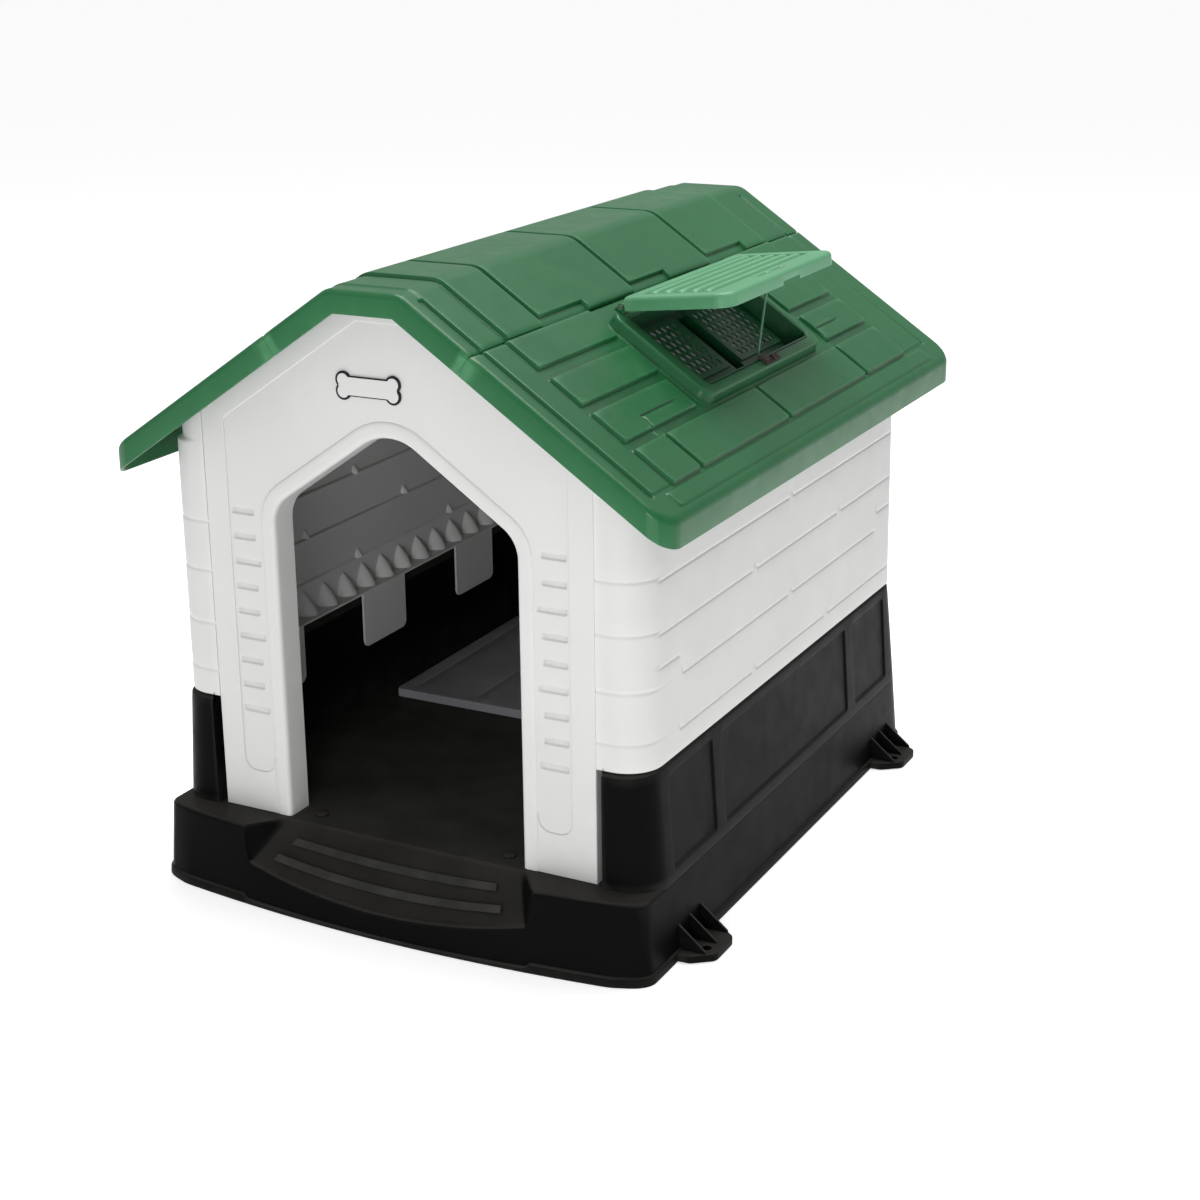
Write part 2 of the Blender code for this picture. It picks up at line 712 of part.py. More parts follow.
def eave_body(name, side, edge, n_low, n_high):
    """Slope body whose eave lip hangs straight down, so its lower edge reaches further down the slope."""
    rings = []
    for n in (n_low, n_high):
        lean = -n * math.tan(ROOF_ANGLE)
        rings.append([on_slope(side, y, s + (lean if s > 0.3 else 0.0), n) for y, s in slope_outline(edge)])
    return loft(name, rings)


def make_slope(side):
    name = "roof_slope_right" if side > 0 else "roof_slope_left"
    slope = eave_body(name, side, 0.0, -ROOF_LIP, 0.0)
    cut(slope, eave_body("hollow", side, LIP_WALL, -0.05, -ROOF_SKIN))
    for y0, y1, s0, s1 in bricks(side):
        fuse(slope, slope_box("brick", side, (y0, y1), (s0, s1), (-0.001, BRICK_H), 0.0018))
    for y0, y1 in ((-0.0120, 0.0295), (0.7515, 0.8170)):
        fuse(slope, slope_box("strip", side, (y0, y1), (0.1055, 0.3430), (-0.001, 0.0016), 0.0008))
    fuse(slope, slope_box("eave_band", side, (0.010, 0.795), (0.3500, 0.3700), (-0.001, 0.0022), 0.001))
    for y0 in (-0.0205, 0.8180):
        groove = [(y0, 0.09), (y0 + 0.008, 0.09), (y0 + 0.008, 0.346), (y0, 0.346)]
        cut(slope, slope_prism("groove", side, groove, -0.0025, 0.03))

    # Tongue that laps under the ridge cap.
    fuse(slope, slope_box("tongue_root", side, (0.045, 0.749), (0.1045, 0.1250), (-0.0085, -0.0040)))
    fuse(slope, slope_box("tongue", side, (0.045, 0.749), (0.0860, 0.1060), (-0.0085, -0.0053)))
    for y in RIDGE_SCREW_Y:
        cut(slope, cylinder("hole", on_slope(side, y, RIDGE_SCREW_S, -0.02),
                            on_slope(side, y, RIDGE_SCREW_S, 0.0), 0.0019, 10))
    if side > 0:
        add_vent_rim(slope)
    return green(slope)


def add_vent_rim(slope):
    outer = rounded([(0.2285, 0.1265), (0.5775, 0.1265), (0.5775, 0.2840), (0.2285, 0.2840)],
                    [0.020] * 4, 4)
    upper = rounded([(0.2345, 0.1275), (0.5715, 0.1275), (0.5715, 0.2790), (0.2345, 0.2790)],
                    [0.016] * 4, 4)
    rings = [[on_slope(1, y, s, -0.002) for y, s in outer]]
    rings.append([on_slope(1, y, s, 0.004) for y, s in outer])
    rings.append([on_slope(1, y, s, RIM_H) for y, s in upper])
    fuse(slope, loft("rim", rings))
    window = rounded([(VENT_Y[0], VENT_S[0]), (VENT_Y[1], VENT_S[0]),
                      (VENT_Y[1], VENT_S[1]), (VENT_Y[0], VENT_S[1])], [0.010] * 4, 3)
    cut(slope, slope_prism("window", 1, window, -0.05, 0.05))
    for y0 in (0.2515, 0.5505):
        arc = [(HINGE_S + 0.0045 * math.cos(t), HINGE_N + 0.0045 * math.sin(t))
               for t in (math.radians(a) for a in range(0, 181, 30))]
        section = [(HINGE_S + 0.0045, RIM_H - 0.002)] + arc + [(HINGE_S - 0.0045, RIM_H - 0.002)]
        rings = [[on_slope(1, y, s, n) for s, n in section] for y in (y0, y0 + 0.0085)]
        fuse(slope, loft("lug", rings))
        cut(slope, cylinder("bore", on_slope(1, y0 - 0.01, HINGE_S, HINGE_N),
                            on_slope(1, y0 + 0.02, HINGE_S, HINGE_N), 0.0021, 12))


# ---------------------------------------------------------------- roof vent

TRAY_WALL = 0.0024
GRILLE_Y = ((0.2635, 0.3885), (0.4235, 0.5485))
GRILLE_S = (0.1475, 0.2420)
TROUGH_Y = (0.3970, 0.4190)
TROUGH_LOW = -0.0275


def inner_window(edge, low_s=0.0):
    corners = [(VENT_Y[0] + edge, VENT_S[0] + edge), (VENT_Y[1] - edge, VENT_S[0] + edge)]
    corners += [(VENT_Y[1] - edge, VENT_S[1] - edge - low_s), (VENT_Y[0] + edge, VENT_S[1] - edge - low_s)]
    radius = max(0.010 - edge, 0.004)
    return rounded(corners, [radius] * 4, 3)


def make_vent_tray():
    tray = slope_prism("vent_tray", 1, inner_window(0.0004), -0.0158, RIM_H - 0.001)
    fuse(tray, slope_prism("flange", 1, inner_window(-0.006), -0.0085, -ROOF_SKIN - 0.0004))
    t0, t1 = TROUGH_Y
    fuse(tray, slope_box("trough", 1, (t0 - 0.002, t1 + 0.002), (0.150, 0.2636), (TROUGH_LOW - 0.002, -0.0148)))
    cut(tray, slope_prism("hollow", 1, inner_window(0.0004 + TRAY_WALL), TRAY_FLOOR, 0.05))
    cut(tray, slope_box("trough_hollow", 1, TROUGH_Y, (0.152, 0.2615), (TROUGH_LOW, 0.02)))
    for y0, y1 in GRILLE_Y:
        cut(tray, slope_box("light", 1, (y0 + 0.004, y1 - 0.004), (GRILLE_S[0] + 0.004, GRILLE_S[1] - 0.004),
                            (-0.03, 0.0)))
    return paint(tray, "tray_green", (0.012, 0.090, 0.050), 0.5)


def make_grille(name, y):
    """Mesh panel with staggered six-sided holes."""
    plate = slope_box(name, 1, y, GRILLE_S, (TRAY_FLOOR + 0.0003, TRAY_FLOOR + 0.0021))
    holes_points = []
    holes_faces = []
    columns = 8
    rows = 7
    pitch_y = (y[1] - y[0] - 0.012) / columns
    pitch_s = (GRILLE_S[1] - GRILLE_S[0] - 0.012) / rows
    for row in range(rows):
        for column in range(columns - row % 2):
            cy = y[0] + 0.006 + pitch_y * (column + 0.5 + 0.5 * (row % 2))
            cs = GRILLE_S[0] + 0.006 + pitch_s * (row + 0.5)
            start = len(holes_points)
            for n in (TRAY_FLOOR - 0.01, TRAY_FLOOR + 0.01):
                for k in range(6):
                    turn = math.radians(60 * k)
                    hy = cy + 0.41 * pitch_y * math.cos(turn)
                    hs = cs + 0.44 * pitch_s * math.sin(turn)
                    holes_points.append(on_slope(1, hy, hs, n))
            holes_faces.append([start + k for k in range(6)])
            holes_faces.append([start + 6 + k for k in range(6)])
            for k in range(6):
                j = (k + 1) % 6
                holes_faces.append([start + k, start + j, start + 6 + j, start + 6 + k])
    cut(plate, new_object("holes", holes_points, holes_faces))
    return paint(plate, "grille_green_" + name, (0.030, 0.150, 0.080), 0.5)


def make_lid():
    y0, y1 = LID_Y
    corners = [(y0, LID_BACK), (y1, LID_BACK), (y1, LID_REACH), (y0, LID_REACH)]
    radii = [0.006, 0.006, 0.020, 0.020]
    lid = lid_prism("vent_lid", rounded(corners, radii, 5), LID_LIP, LID_TOP)
    wall = 0.003
    inner = [(y0 + wall, LID_BACK + wall), (y1 - wall, LID_BACK + wall)]
    inner += [(y1 - wall, LID_REACH - wall), (y0 + wall, LID_REACH - wall)]
    cut(lid, lid_prism("hollow", rounded(inner, [0.003, 0.003, 0.017, 0.017], 5), -0.02, LID_TOP - 0.0035))
    field = rounded([(y0 + 0.018, 0.022), (y1 - 0.018, 0.022), (y1 - 0.018, 0.112), (y0 + 0.018, 0.112)],
                    [0.004] * 4, 3)
    cut(lid, lid_prism("field", field, LID_TOP - 0.0016, 0.05))
    for i in range(5):
        u = 0.033 + 0.0170 * i
        fuse(lid, lid_box("louvre", (y0 + 0.026, y1 - 0.026), (u - 0.0045, u + 0.0045),
                          (LID_TOP - 0.0025, LID_TOP - 0.0002)))
    for s0, s1 in ((0.362, 0.399), (0.404, 0.441)):
        cut(lid, lid_box("slot", (s0, s1), (0.1205, 0.1275), (LID_TOP - 0.0018, 0.05)))

    # Notch in the free edge that clears the stay catch when the lid is shut.
    cut(lid, lid_box("notch", (CATCH_Y[0] - 0.0025, CATCH_Y[1] + 0.0025), (0.1360, 0.1500), (-0.0100, 0.0012)))

    # Hinge ears and the pair of ears that carry the stay rod.
    for e0 in (0.2605, 0.5415):
        arc = [(0.0045 * math.cos(t), 0.0045 * math.sin(t))
               for t in (math.radians(a) for a in range(90, 271, 30))]
        section = arc + [(0.0075, -0.0035), (0.0075, 0.0045)]
        rings = [[on_lid(y, u, w) for u, w in section] for y in (e0, e0 + 0.0085)]
        fuse(lid, loft("ear", rings))
        cut(lid, cylinder("bore", on_lid(e0 - 0.02, 0.0, 0.0), on_lid(e0 + 0.02, 0.0, 0.0), 0.0021, 12))
    for e0 in (STAY_Y - 0.0080, STAY_Y + 0.0050):
        section = [(STAY_U - 0.0045, 0.0110), (STAY_U - 0.0045, STAY_W - 0.001), (STAY_U - 0.002, STAY_W - 0.004)]
        section += [(STAY_U + 0.002, STAY_W - 0.004), (STAY_U + 0.0045, STAY_W - 0.001), (STAY_U + 0.0045, 0.0110)]
        rings = [[on_lid(y, u, w) for u, w in section] for y in (e0, e0 + 0.003)]
        fuse(lid, loft("stay_ear", rings))
    cut(lid, cylinder("stay_bore", on_lid(STAY_Y - 0.012, STAY_U, STAY_W),
                      on_lid(STAY_Y + 0.012, STAY_U, STAY_W), 0.0015, 12))
    paint(lid, "lid_green", (0.110, 0.330, 0.190), 0.4)
    move_origin(lid, on_lid(0.5 * (y0 + y1), 0.0, 0.0))
    return lid


def make_hinge_pin(name, y0, y1, head):
    """Pin with a small head on its outer end."""
    pin = cylinder(name, on_slope(1, y0, HINGE_S, HINGE_N), on_slope(1, y1, HINGE_S, HINGE_N), 0.0018, 12)
    fuse(pin, cylinder("head", on_slope(1, head[0], HINGE_S, HINGE_N),
                       on_slope(1, head[1], HINGE_S, HINGE_N), 0.0032, 12))
    return steel(pin)


def make_stay_rod():
    """Round rod with an eye on the lid pin and a short bent foot."""
    top = on_lid(STAY_Y, STAY_U, STAY_W)
    foot = on_slope(1, STAY_Y, STAY_FOOT_S, STAY_FOOT_N)
    along = (foot - top).normalized()
    sideways = Vector((0.0, 1.0, 0.0))
    across = along.cross(sideways)
    path = [top + along * 0.0025, foot - along * 0.004, foot - along * 0.0012 + sideways * 0.0012]
    path += [foot + sideways * 0.004, foot + sideways * 0.0070]
    heads = [along, along, (along + sideways).normalized(), sideways, sideways]
    rings = []
    for point, head in zip(path, heads):
        other = head.cross(across).normalized()
        ring = []
        for k in range(10):
            turn = 2 * math.pi * k / 10
            ring.append(point + STAY_R * (math.cos(turn) * across + math.sin(turn) * other))
        rings.append(ring)
    rod = loft("stay_rod", rings)
    fuse(rod, cylinder("eye", top - sideways * 0.0042, top + sideways * 0.0042, 0.0040, 14))
    cut(rod, cylinder("bore", top - sideways * 0.01, top + sideways * 0.01, 0.0016, 12))
    paint(rod, "rod_green", (0.160, 0.330, 0.210), 0.4)
    move_origin(rod, top)
    return rod


def make_stay_pin():
    pin = cylinder("stay_pin", on_lid(STAY_Y - 0.0092, STAY_U, STAY_W),
                   on_lid(STAY_Y + 0.0092, STAY_U, STAY_W), 0.0012, 12)
    return steel(pin)


CATCH_Y = (0.3990, 0.4430)
CATCH_SCREW_Y = (0.4170, 0.4350)


def make_catch():
    """Small bracket on the low side of the rim; its nose stops the foot of the rod."""
    low = RIM_H + 0.0003
    plate = slope_prism("stay_catch", 1, rounded(
        [(CATCH_Y[0], 0.2660), (CATCH_Y[1], 0.2660), (CATCH_Y[1], 0.2760), (CATCH_Y[0], 0.2760)],
        [0.002] * 4, 2), low, low + 0.0016)
    fuse(plate, slope_box("nose", 1, (0.4000, 0.4110), (0.2613, 0.2735), (low, low + 0.0050), 0.0006))
    fuse(plate, slope_box("heel", 1, (0.4230, 0.4290), (0.2665, 0.2745), (low + 0.0005, low + 0.0045), 0.0006))
    for y in CATCH_SCREW_Y:
        cut(plate, cylinder("hole", on_slope(1, y, 0.2710, 0.0), on_slope(1, y, 0.2710, 0.03), 0.0014, 10))
    return paint(plate, "catch_brown", (0.050, 0.028, 0.020), 0.5)


def make_screw(name, tip, neck, head_end, shank_r, head_r):
    """Pan-head screw from its tip to the outer end of its head."""
    screw = cylinder(name, tip, neck, shank_r, 10)
    out = (head_end - neck).normalized()
    fuse(screw, cylinder("head", neck - out * 0.0002, head_end, head_r, 12))
    return steel(screw)


def make_screws():
    for y in CATCH_SCREW_Y:
        label = "front" if y == CATCH_SCREW_Y[0] else "rear"
        make_screw("catch_screw_" + label, on_slope(1, y, 0.2710, RIM_H - 0.0020),
                   on_slope(1, y, 0.2710, RIM_H + 0.0022), on_slope(1, y, 0.2710, RIM_H + 0.0036),
                   0.0011, 0.0021)
    for end, y in (("front", 0.021), ("back", DEPTH - 0.021)):
        for side, word in ((1, "right"), (-1, "left")):
            for z, level in zip(SCREW_HEIGHTS, ("low", "high")):
                make_screw(f"wall_screw_{end}_{word}_{level}", house(side * 0.2640, y, z),
                           house(side * 0.2515, y, z), house(side * 0.2487, y, z), 0.0015, 0.0040)
    for side, word in ((1, "right"), (-1, "left")):
        for y, end in zip(RIDGE_SCREW_Y, ("front", "back")):
            make_screw(f"ridge_screw_{word}_{end}", on_slope(side, y, RIDGE_SCREW_S, -0.0018),
                       on_slope(side, y, RIDGE_SCREW_S, -0.0090),
                       on_slope(side, y, RIDGE_SCREW_S, -0.0112), 0.0014, 0.0038)


def main():
    for obj in list(bpy.data.objects):
        bpy.data.objects.remove(obj)
    make_base()
    make_floor_panel()
    make_front_panel()
    make_back_panel()
    make_badge()
    for side in (1, -1):
        make_side_wall(side)
        make_slope(side)
    make_ridge_cap()
    slope = bpy.data.objects["roof_slope_right"]
    for y in CATCH_SCREW_Y:
        cut(slope, cylinder("hole", on_slope(1, y, 0.2710, RIM_H - 0.0024), on_slope(1, y, 0.2710, 0.05),
                            0.0014, 10))
    make_vent_tray()
    for name, y in zip(("vent_grille_front", "vent_grille_rear"), GRILLE_Y):
        make_grille(name, y)
    make_lid()
    make_hinge_pin("hinge_pin_front", 0.2510, 0.2700, (0.2490, 0.2512))
    make_hinge_pin("hinge_pin_rear", 0.5405, 0.5595, (0.5593, 0.5615))
    make_stay_rod()
    make_stay_pin()
    make_catch()
    make_screws()
    for obj in bpy.data.objects:
        for polygon in obj.data.polygons:
            polygon.use_smooth = False


main()
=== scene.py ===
import math

import bmesh
import bpy
import numpy as np
from mathutils import Matrix, Vector


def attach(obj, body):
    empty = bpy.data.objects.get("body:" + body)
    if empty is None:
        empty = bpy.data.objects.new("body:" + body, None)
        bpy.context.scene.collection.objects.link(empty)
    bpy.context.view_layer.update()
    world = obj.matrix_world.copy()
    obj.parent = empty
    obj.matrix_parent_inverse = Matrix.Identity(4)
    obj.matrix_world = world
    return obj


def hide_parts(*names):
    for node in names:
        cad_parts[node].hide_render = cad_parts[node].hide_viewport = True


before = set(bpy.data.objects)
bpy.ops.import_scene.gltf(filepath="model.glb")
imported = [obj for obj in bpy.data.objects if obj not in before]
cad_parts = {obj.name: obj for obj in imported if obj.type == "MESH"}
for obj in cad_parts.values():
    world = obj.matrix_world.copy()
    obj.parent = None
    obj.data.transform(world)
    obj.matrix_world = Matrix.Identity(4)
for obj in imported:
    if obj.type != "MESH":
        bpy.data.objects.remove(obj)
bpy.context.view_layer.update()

# ---------------------------------------------------------------- sizes, as in the CAD, in metres

FRONT_Y = -0.3975
DEPTH = 0.794
BASE_HALF = 0.3330
BASE_TAPER = 0.0165
BASE_FLANGE = 0.003
PORCH_FRONT = -0.064
PORCH_SAG = 0.020
PORCH_TAPER = 0.0085
FLOOR_Z = 0.098
LEDGE_Z = 0.236
TONGUE_Z = 0.252
TONGUE_INSET = 0.010
CORNER_R = 0.045
BASE_RUN = BASE_HALF - CORNER_R
POST_FRONT = -0.005
POST_INNER_X = 0.2645
BASE_INNER_X = 0.290
RAMP_TOP_Y = -0.003
RAMP_DEEP = 0.058
RAMP_HALF = 0.163
RAMP_FLARE = 0.032
RAMP_LOW_Z = 0.026
RAMP_DISH = 0.026
PANEL_HALF = 0.2555
DOOR_HALF = 0.1605
DOOR_SHOULDER_Z = 0.470
FIELD_HALF = 0.2245
FIELD_LOW_Z = 0.150
FIELD_DEEP = 0.002
SLOT_PITCH = 0.0309
WALL_HALF = 0.3165
WALL_SKIN = 0.004
WALL_END_X = 0.2558
WALL_LOW_Z = 0.2385
BAND_Z = 0.556
LEDGE_HIGH_Z = 0.2560
ROOF_ANGLE = math.radians(34.03)
RIDGE_X = 0.0465
RIDGE_Z = 0.7566
ROOF_FRONT = -0.0406
ROOF_BACK = 0.8620
ROOF_SKIN = 0.005
ROOF_LIP = 0.027
CAP_END = 0.1035
SLOPE_START = 0.1039
EAVE_S = 0.3820
EAVE_R = 0.032
LIP_WALL = 0.004
BRICK_H = 0.005
BRICK_SOFT = 0.0036
ROOF_EDGE = 0.0065
RIM_H = 0.014
LID_OPEN = math.radians(40.2)
HINGE_S = 0.128
HINGE_N = 0.019
HINGE_WIDE = 0.0085
LID_Y = (0.244, 0.566)
LID_BACK = 0.0058
LID_REACH = 0.142
LID_TOP = 0.013
LID_LIP = -0.004
LID_NOTCH = (0.3965, 0.4455)
LID_CORNER = 0.020
LID_BACK_CORNER = 0.006
STAY_Y = 0.406
STAY_U = 0.118
STAY_W = 0.003
STAY_FOOT_S = 0.2590
STAY_FOOT_N = 0.0130
STAY_R = 0.0018
COS_A = math.cos(ROOF_ANGLE)
SIN_A = math.sin(ROOF_ANGLE)
WORD = {1: "right", -1: "left"}


# ---------------------------------------------------------------- frames, on numbers or arrays

def points(x, y, z):
    """Rows of x, y, z from arrays or numbers of any matching shape."""
    rows = np.broadcast_arrays(*(np.asarray(value, float) for value in (x, y, z)))
    return np.stack(rows, axis=-1).reshape(-1, 3)


def house(x, y, z):
    return points(x, FRONT_Y + np.asarray(y, float), z)


def on_slope(side, y, s, n):
    s, n = np.asarray(s, float), np.asarray(n, float)
    x = RIDGE_X + s * COS_A + n * SIN_A
    return points(side * x, FRONT_Y + np.asarray(y, float), RIDGE_Z - s * SIN_A + n * COS_A)


def on_lid(y, u, w):
    u, w = np.asarray(u, float), np.asarray(w, float)
    s = HINGE_S + u * math.cos(LID_OPEN) - w * math.sin(LID_OPEN)
    n = HINGE_N + u * math.sin(LID_OPEN) + w * math.cos(LID_OPEN)
    return on_slope(1, y, s, n)


def roof_z(x, n):
    """Height of the offset roof plane over a point x off the middle."""
    slope = RIDGE_Z + n / COS_A - (np.abs(x) - RIDGE_X) * math.tan(ROOF_ANGLE)
    return np.minimum(RIDGE_Z + n, slope)


def on_cap(y, t, n):
    """Point over the ridge cap; t runs across it from left to right, with the two bends rounded."""
    t, n = np.asarray(t, float), np.asarray(n, float)
    bend = 0.0092
    radius = bend * (1 + COS_A) / SIN_A
    along = np.abs(t) - RIDGE_X
    turn = ROOF_ANGLE * np.clip((along + bend) / (2 * bend), 0, 1)
    arc_x = RIDGE_X - bend + radius * np.sin(turn)
    arc_z = RIDGE_Z - radius * (1 - np.cos(turn))
    x = np.where(along < -bend, np.abs(t), np.where(along > bend, RIDGE_X + along * COS_A, arc_x))
    z = np.where(along < -bend, RIDGE_Z, np.where(along > bend, RIDGE_Z - along * SIN_A, arc_z))
    x = x + n * np.sin(turn)
    return points(np.sign(t) * x, FRONT_Y + np.asarray(y, float), z + n * np.cos(turn))


# ---------------------------------------------------------------- soft steps and grid lines

def smooth(t):
    t = np.clip(t, 0, 1)
    return t * t * (3 - 2 * t)


def rise(distance, width):
    """0 outside and 1 inside a signed distance, with a soft step of that width."""
    return smooth(distance / width + 0.5)


def inside(u, v, u0, u1, v0, v1, r=0.0):
    """Signed distance into a rounded rectangle."""
    du = np.abs(u - (u0 + u1) / 2) - ((u1 - u0) / 2 - r)
    dv = np.abs(v - (v0 + v1) / 2) - ((v1 - v0) / 2 - r)
    return r - (np.hypot(np.maximum(du, 0), np.maximum(dv, 0)) + np.minimum(np.maximum(du, dv), 0))


def near_line(u, v, path):
    """Distance to a line through the given points."""
    best = np.full(np.broadcast(u, v).shape, 9.0)
    for (u0, v0), (u1, v1) in zip(path, path[1:]):
        du, dv = u1 - u0, v1 - v0
        t = np.clip(((u - u0) * du + (v - v0) * dv) / (du * du + dv * dv), 0, 1)
        best = np.minimum(best, np.hypot(u - u0 - t * du, v - v0 - t * dv))
    return best


def grid_lines(lo, hi, step, edges, soft=0.0022, keep=()):
    """Grid lines, close together about each soft edge, and exactly at each kept place."""
    wanted = {lo: 2, hi: 2}
    for place in keep:
        wanted[place] = 2
    for edge in edges:
        for k in (-1, -0.5, 0, 0.5, 1):
            place = edge + k * soft
            if lo < place < hi:
                wanted.setdefault(place, 1)
    found = []
    for place in sorted(wanted):
        if found and place - found[-1] < 0.35 * soft:
            if wanted[place] == 2 and len(found) > 1:
                found[-1] = place
            continue
        found.append(place)
    lines = []
    for a, b in zip(found, found[1:]):
        count = max(1, math.ceil((b - a) / step - 1e-6))
        lines += list(np.linspace(a, b, count + 1)[:-1])
    lines.append(found[-1])
    return np.array(lines)


# ---------------------------------------------------------------- bodies: (rows of points, faces)

def join(*bodies):
    rows, faces, start = [], [], 0
    for body_rows, body_faces in bodies:
        rows.append(np.asarray(body_rows, float).reshape(-1, 3))
        faces += [[start + i for i in face] for face in body_faces]
        start += len(rows[-1])
    return np.concatenate(rows), faces


def strips(count, rings, closed=True):
    """Quads between numbered rings of equal length."""
    faces = []
    last = count if closed else count - 1
    for low, high in zip(rings, rings[1:]):
        for i in range(last):
            j = (i + 1) % count
            faces.append([low + i, low + j, high + j, high + i])
    return faces


def loft(rings, caps=True):
    """Closed body through rings of equal length, capped at both ends."""
    count = len(rings[0])
    faces = strips(count, [k * count for k in range(len(rings))])
    if caps:
        faces.append(list(range(count)))
        faces.append([(len(rings) - 1) * count + i for i in range(count)])
    return np.concatenate([np.asarray(r, float).reshape(-1, 3) for r in rings]), faces


def hoop(rings):
    """Closed ring-shaped body: each ring runs all round, and the last joins the first."""
    count = len(rings[0])
    order = [k * count for k in range(len(rings))] + [0]
    return np.concatenate(rings), strips(count, order)


def swept(rows):
    """Body along a path, capped at its ends: rows[k][i] is point k of a closed profile at path point i."""
    count = len(rows[0])
    order = [k * count for k in range(len(rows))] + [0]
    faces = strips(count, order, closed=False)
    faces.append([k * count for k in range(len(rows))])
    faces.append([k * count + count - 1 for k in range(len(rows))])
    return np.concatenate(rows), faces


def corner_arcs(box, radii):
    """Signs, arc centre and radius of each rounded corner of a rectangle."""
    u0, u1, v0, v1 = box
    for (su, sv), radius in zip(((-1, -1), (1, -1), (1, 1), (-1, 1)), radii):
        if radius > 0:
            yield su, sv, u0 + radius if su < 0 else u1 - radius, v0 + radius if sv < 0 else v1 - radius, radius


def round_corner_grid(u, v, box, radii):
    """Moves the points of a rectangular grid so that the corners of its outline are round."""
    u, v = u.copy(), v.copy()
    for su, sv, cu, cv, radius in corner_arcs(box, radii):
        p = su * (u - cu) / radius
        q = sv * (v - cv) / radius
        here = (p > 0) & (q > 0)
        pp = p * np.sqrt(np.clip(1 - q * q / 2, 0, 1))
        qq = q * np.sqrt(np.clip(1 - p * p / 2, 0, 1))
        u = np.where(here, cu + su * radius * pp, u)
        v = np.where(here, cv + sv * radius * qq, v)
    return u, v


def cell_middles(gu, gv):
    return (gu[:-1, :-1] + gu[1:, 1:]) / 2, (gv[:-1, :-1] + gv[1:, 1:]) / 2


def cell_faces(solid, border):
    """Faces of a grid and of its copy behind it over the solid cells, with walls round each hole and, with
    border, round the outside."""
    nu, nv = solid.shape
    total = (nu + 1) * (nv + 1)
    index = np.arange(total).reshape(nu + 1, nv + 1)
    faces = []
    for i, j in zip(*np.nonzero(solid)):
        a, b, c, d = index[i, j], index[i + 1, j], index[i + 1, j + 1], index[i, j + 1]
        faces.append([a, b, c, d])
        faces.append([total + d, total + c, total + b, total + a])
        for ni, nj, e, f in ((i, j - 1, a, b), (i + 1, j, b, c), (i, j + 1, c, d), (i - 1, j, d, a)):
            on_grid = 0 <= ni < nu and 0 <= nj < nv
            if not solid[ni, nj] if on_grid else border:
                faces.append([f, e, total + e, total + f])
    return faces


def moulded(us, vs, box, radii, place, height, profile, under, floor=None, holes=()):
    """Thin moulded cover. The grid fills box (u0, u1, v0, v1) drawn in by profile[0][0]; the profile's
    (inset, n) rings fold its edge over and down, and a second grid closes it at n = under.
    floor(u, v) is the lowest n that the fold may reach. holes are (u0, u1, v0, v1) on grid lines."""
    edge, top_n = profile[0]
    u0, u1, v0, v1 = box
    inner = (u0 + edge, u1 - edge, v0 + edge, v1 - edge)
    drawn = [max(0.0, r - edge) for r in radii]
    flat_u, flat_v = np.meshgrid(us, vs, indexing="ij")
    gu, gv = round_corner_grid(flat_u, flat_v, inner, drawn)
    raised = height(gu, gv)
    mid_u, mid_v = cell_middles(flat_u, flat_v)
    solid = np.ones(mid_u.shape, bool)
    for h0, h1, k0, k1 in holes:
        solid &= ~((mid_u > h0) & (mid_u < h1) & (mid_v > k0) & (mid_v < k1))
    faces = cell_faces(solid, border=False)
    total = gu.size
    index = np.arange(total).reshape(gu.shape)
    rim = list(index[:, 0]) + list(index[-1, 1:]) + list(index[-2::-1, -1]) + list(index[0, -2:0:-1])
    fu, fv = flat_u.reshape(-1)[rim], flat_v.reshape(-1)[rim]
    ru, rv = gu.reshape(-1)[rim], gv.reshape(-1)[rim]
    rh = raised.reshape(-1)[rim]
    out_u = 1.0 * np.isclose(fu, inner[1]) - np.isclose(fu, inner[0])
    out_v = 1.0 * np.isclose(fv, inner[3]) - np.isclose(fv, inner[2])
    for su, sv, cu, cv, radius in corner_arcs(inner, drawn):
        here = (su * (fu - cu) > 1e-9) & (sv * (fv - cv) > 1e-9)
        out_u = np.where(here, (ru - cu) / radius, out_u)
        out_v = np.where(here, (rv - cv) / radius, out_v)
    rows = [place(gu, gv, top_n + raised), place(gu, gv, under + raised)]
    count = len(rim)
    ring_starts = [2 * total + k * count for k in range(len(profile) - 1)]
    low_n = min(n for _, n in profile)
    for inset, n in profile[1:]:
        share = np.clip((n - low_n) / max(top_n - low_n, 1e-9), 0, 1)
        level = n + rh * share
        if floor is not None:
            level = np.maximum(level, floor(fu, fv))
        rows.append(place(ru + out_u * (edge - inset), rv + out_v * (edge - inset), level))
    faces += strips(count, ring_starts)
    first, last = ring_starts[0], ring_starts[-1]
    for i in range(count):
        j = (i + 1) % count
        faces.append([rim[i], first + i, first + j, rim[j]])
        faces.append([last + i, total + rim[i], total + rim[j], last + j])
    return np.concatenate(rows), faces


def rollover(radius, top, steps=5):
    """Profile (inset, n) of a quarter turn from the top down into the side."""
    turns = [math.pi / 2 * k / steps for k in range(steps + 1)]
    return [(radius * (1 - math.sin(turn)), top - radius * (1 - math.cos(turn))) for turn in turns]


def fold(radius, top, low, wall, under):
    """Profile of a rounded edge: over, down to low, across the wall and up to the underside."""
    soft = min(0.0012, wall / 3)
    return rollover(radius, top) + [(0.0, low + soft), (soft * 0.3, low + soft * 0.3), (soft, low),
                                    (wall - soft, low), (wall, low + soft), (wall, under)]


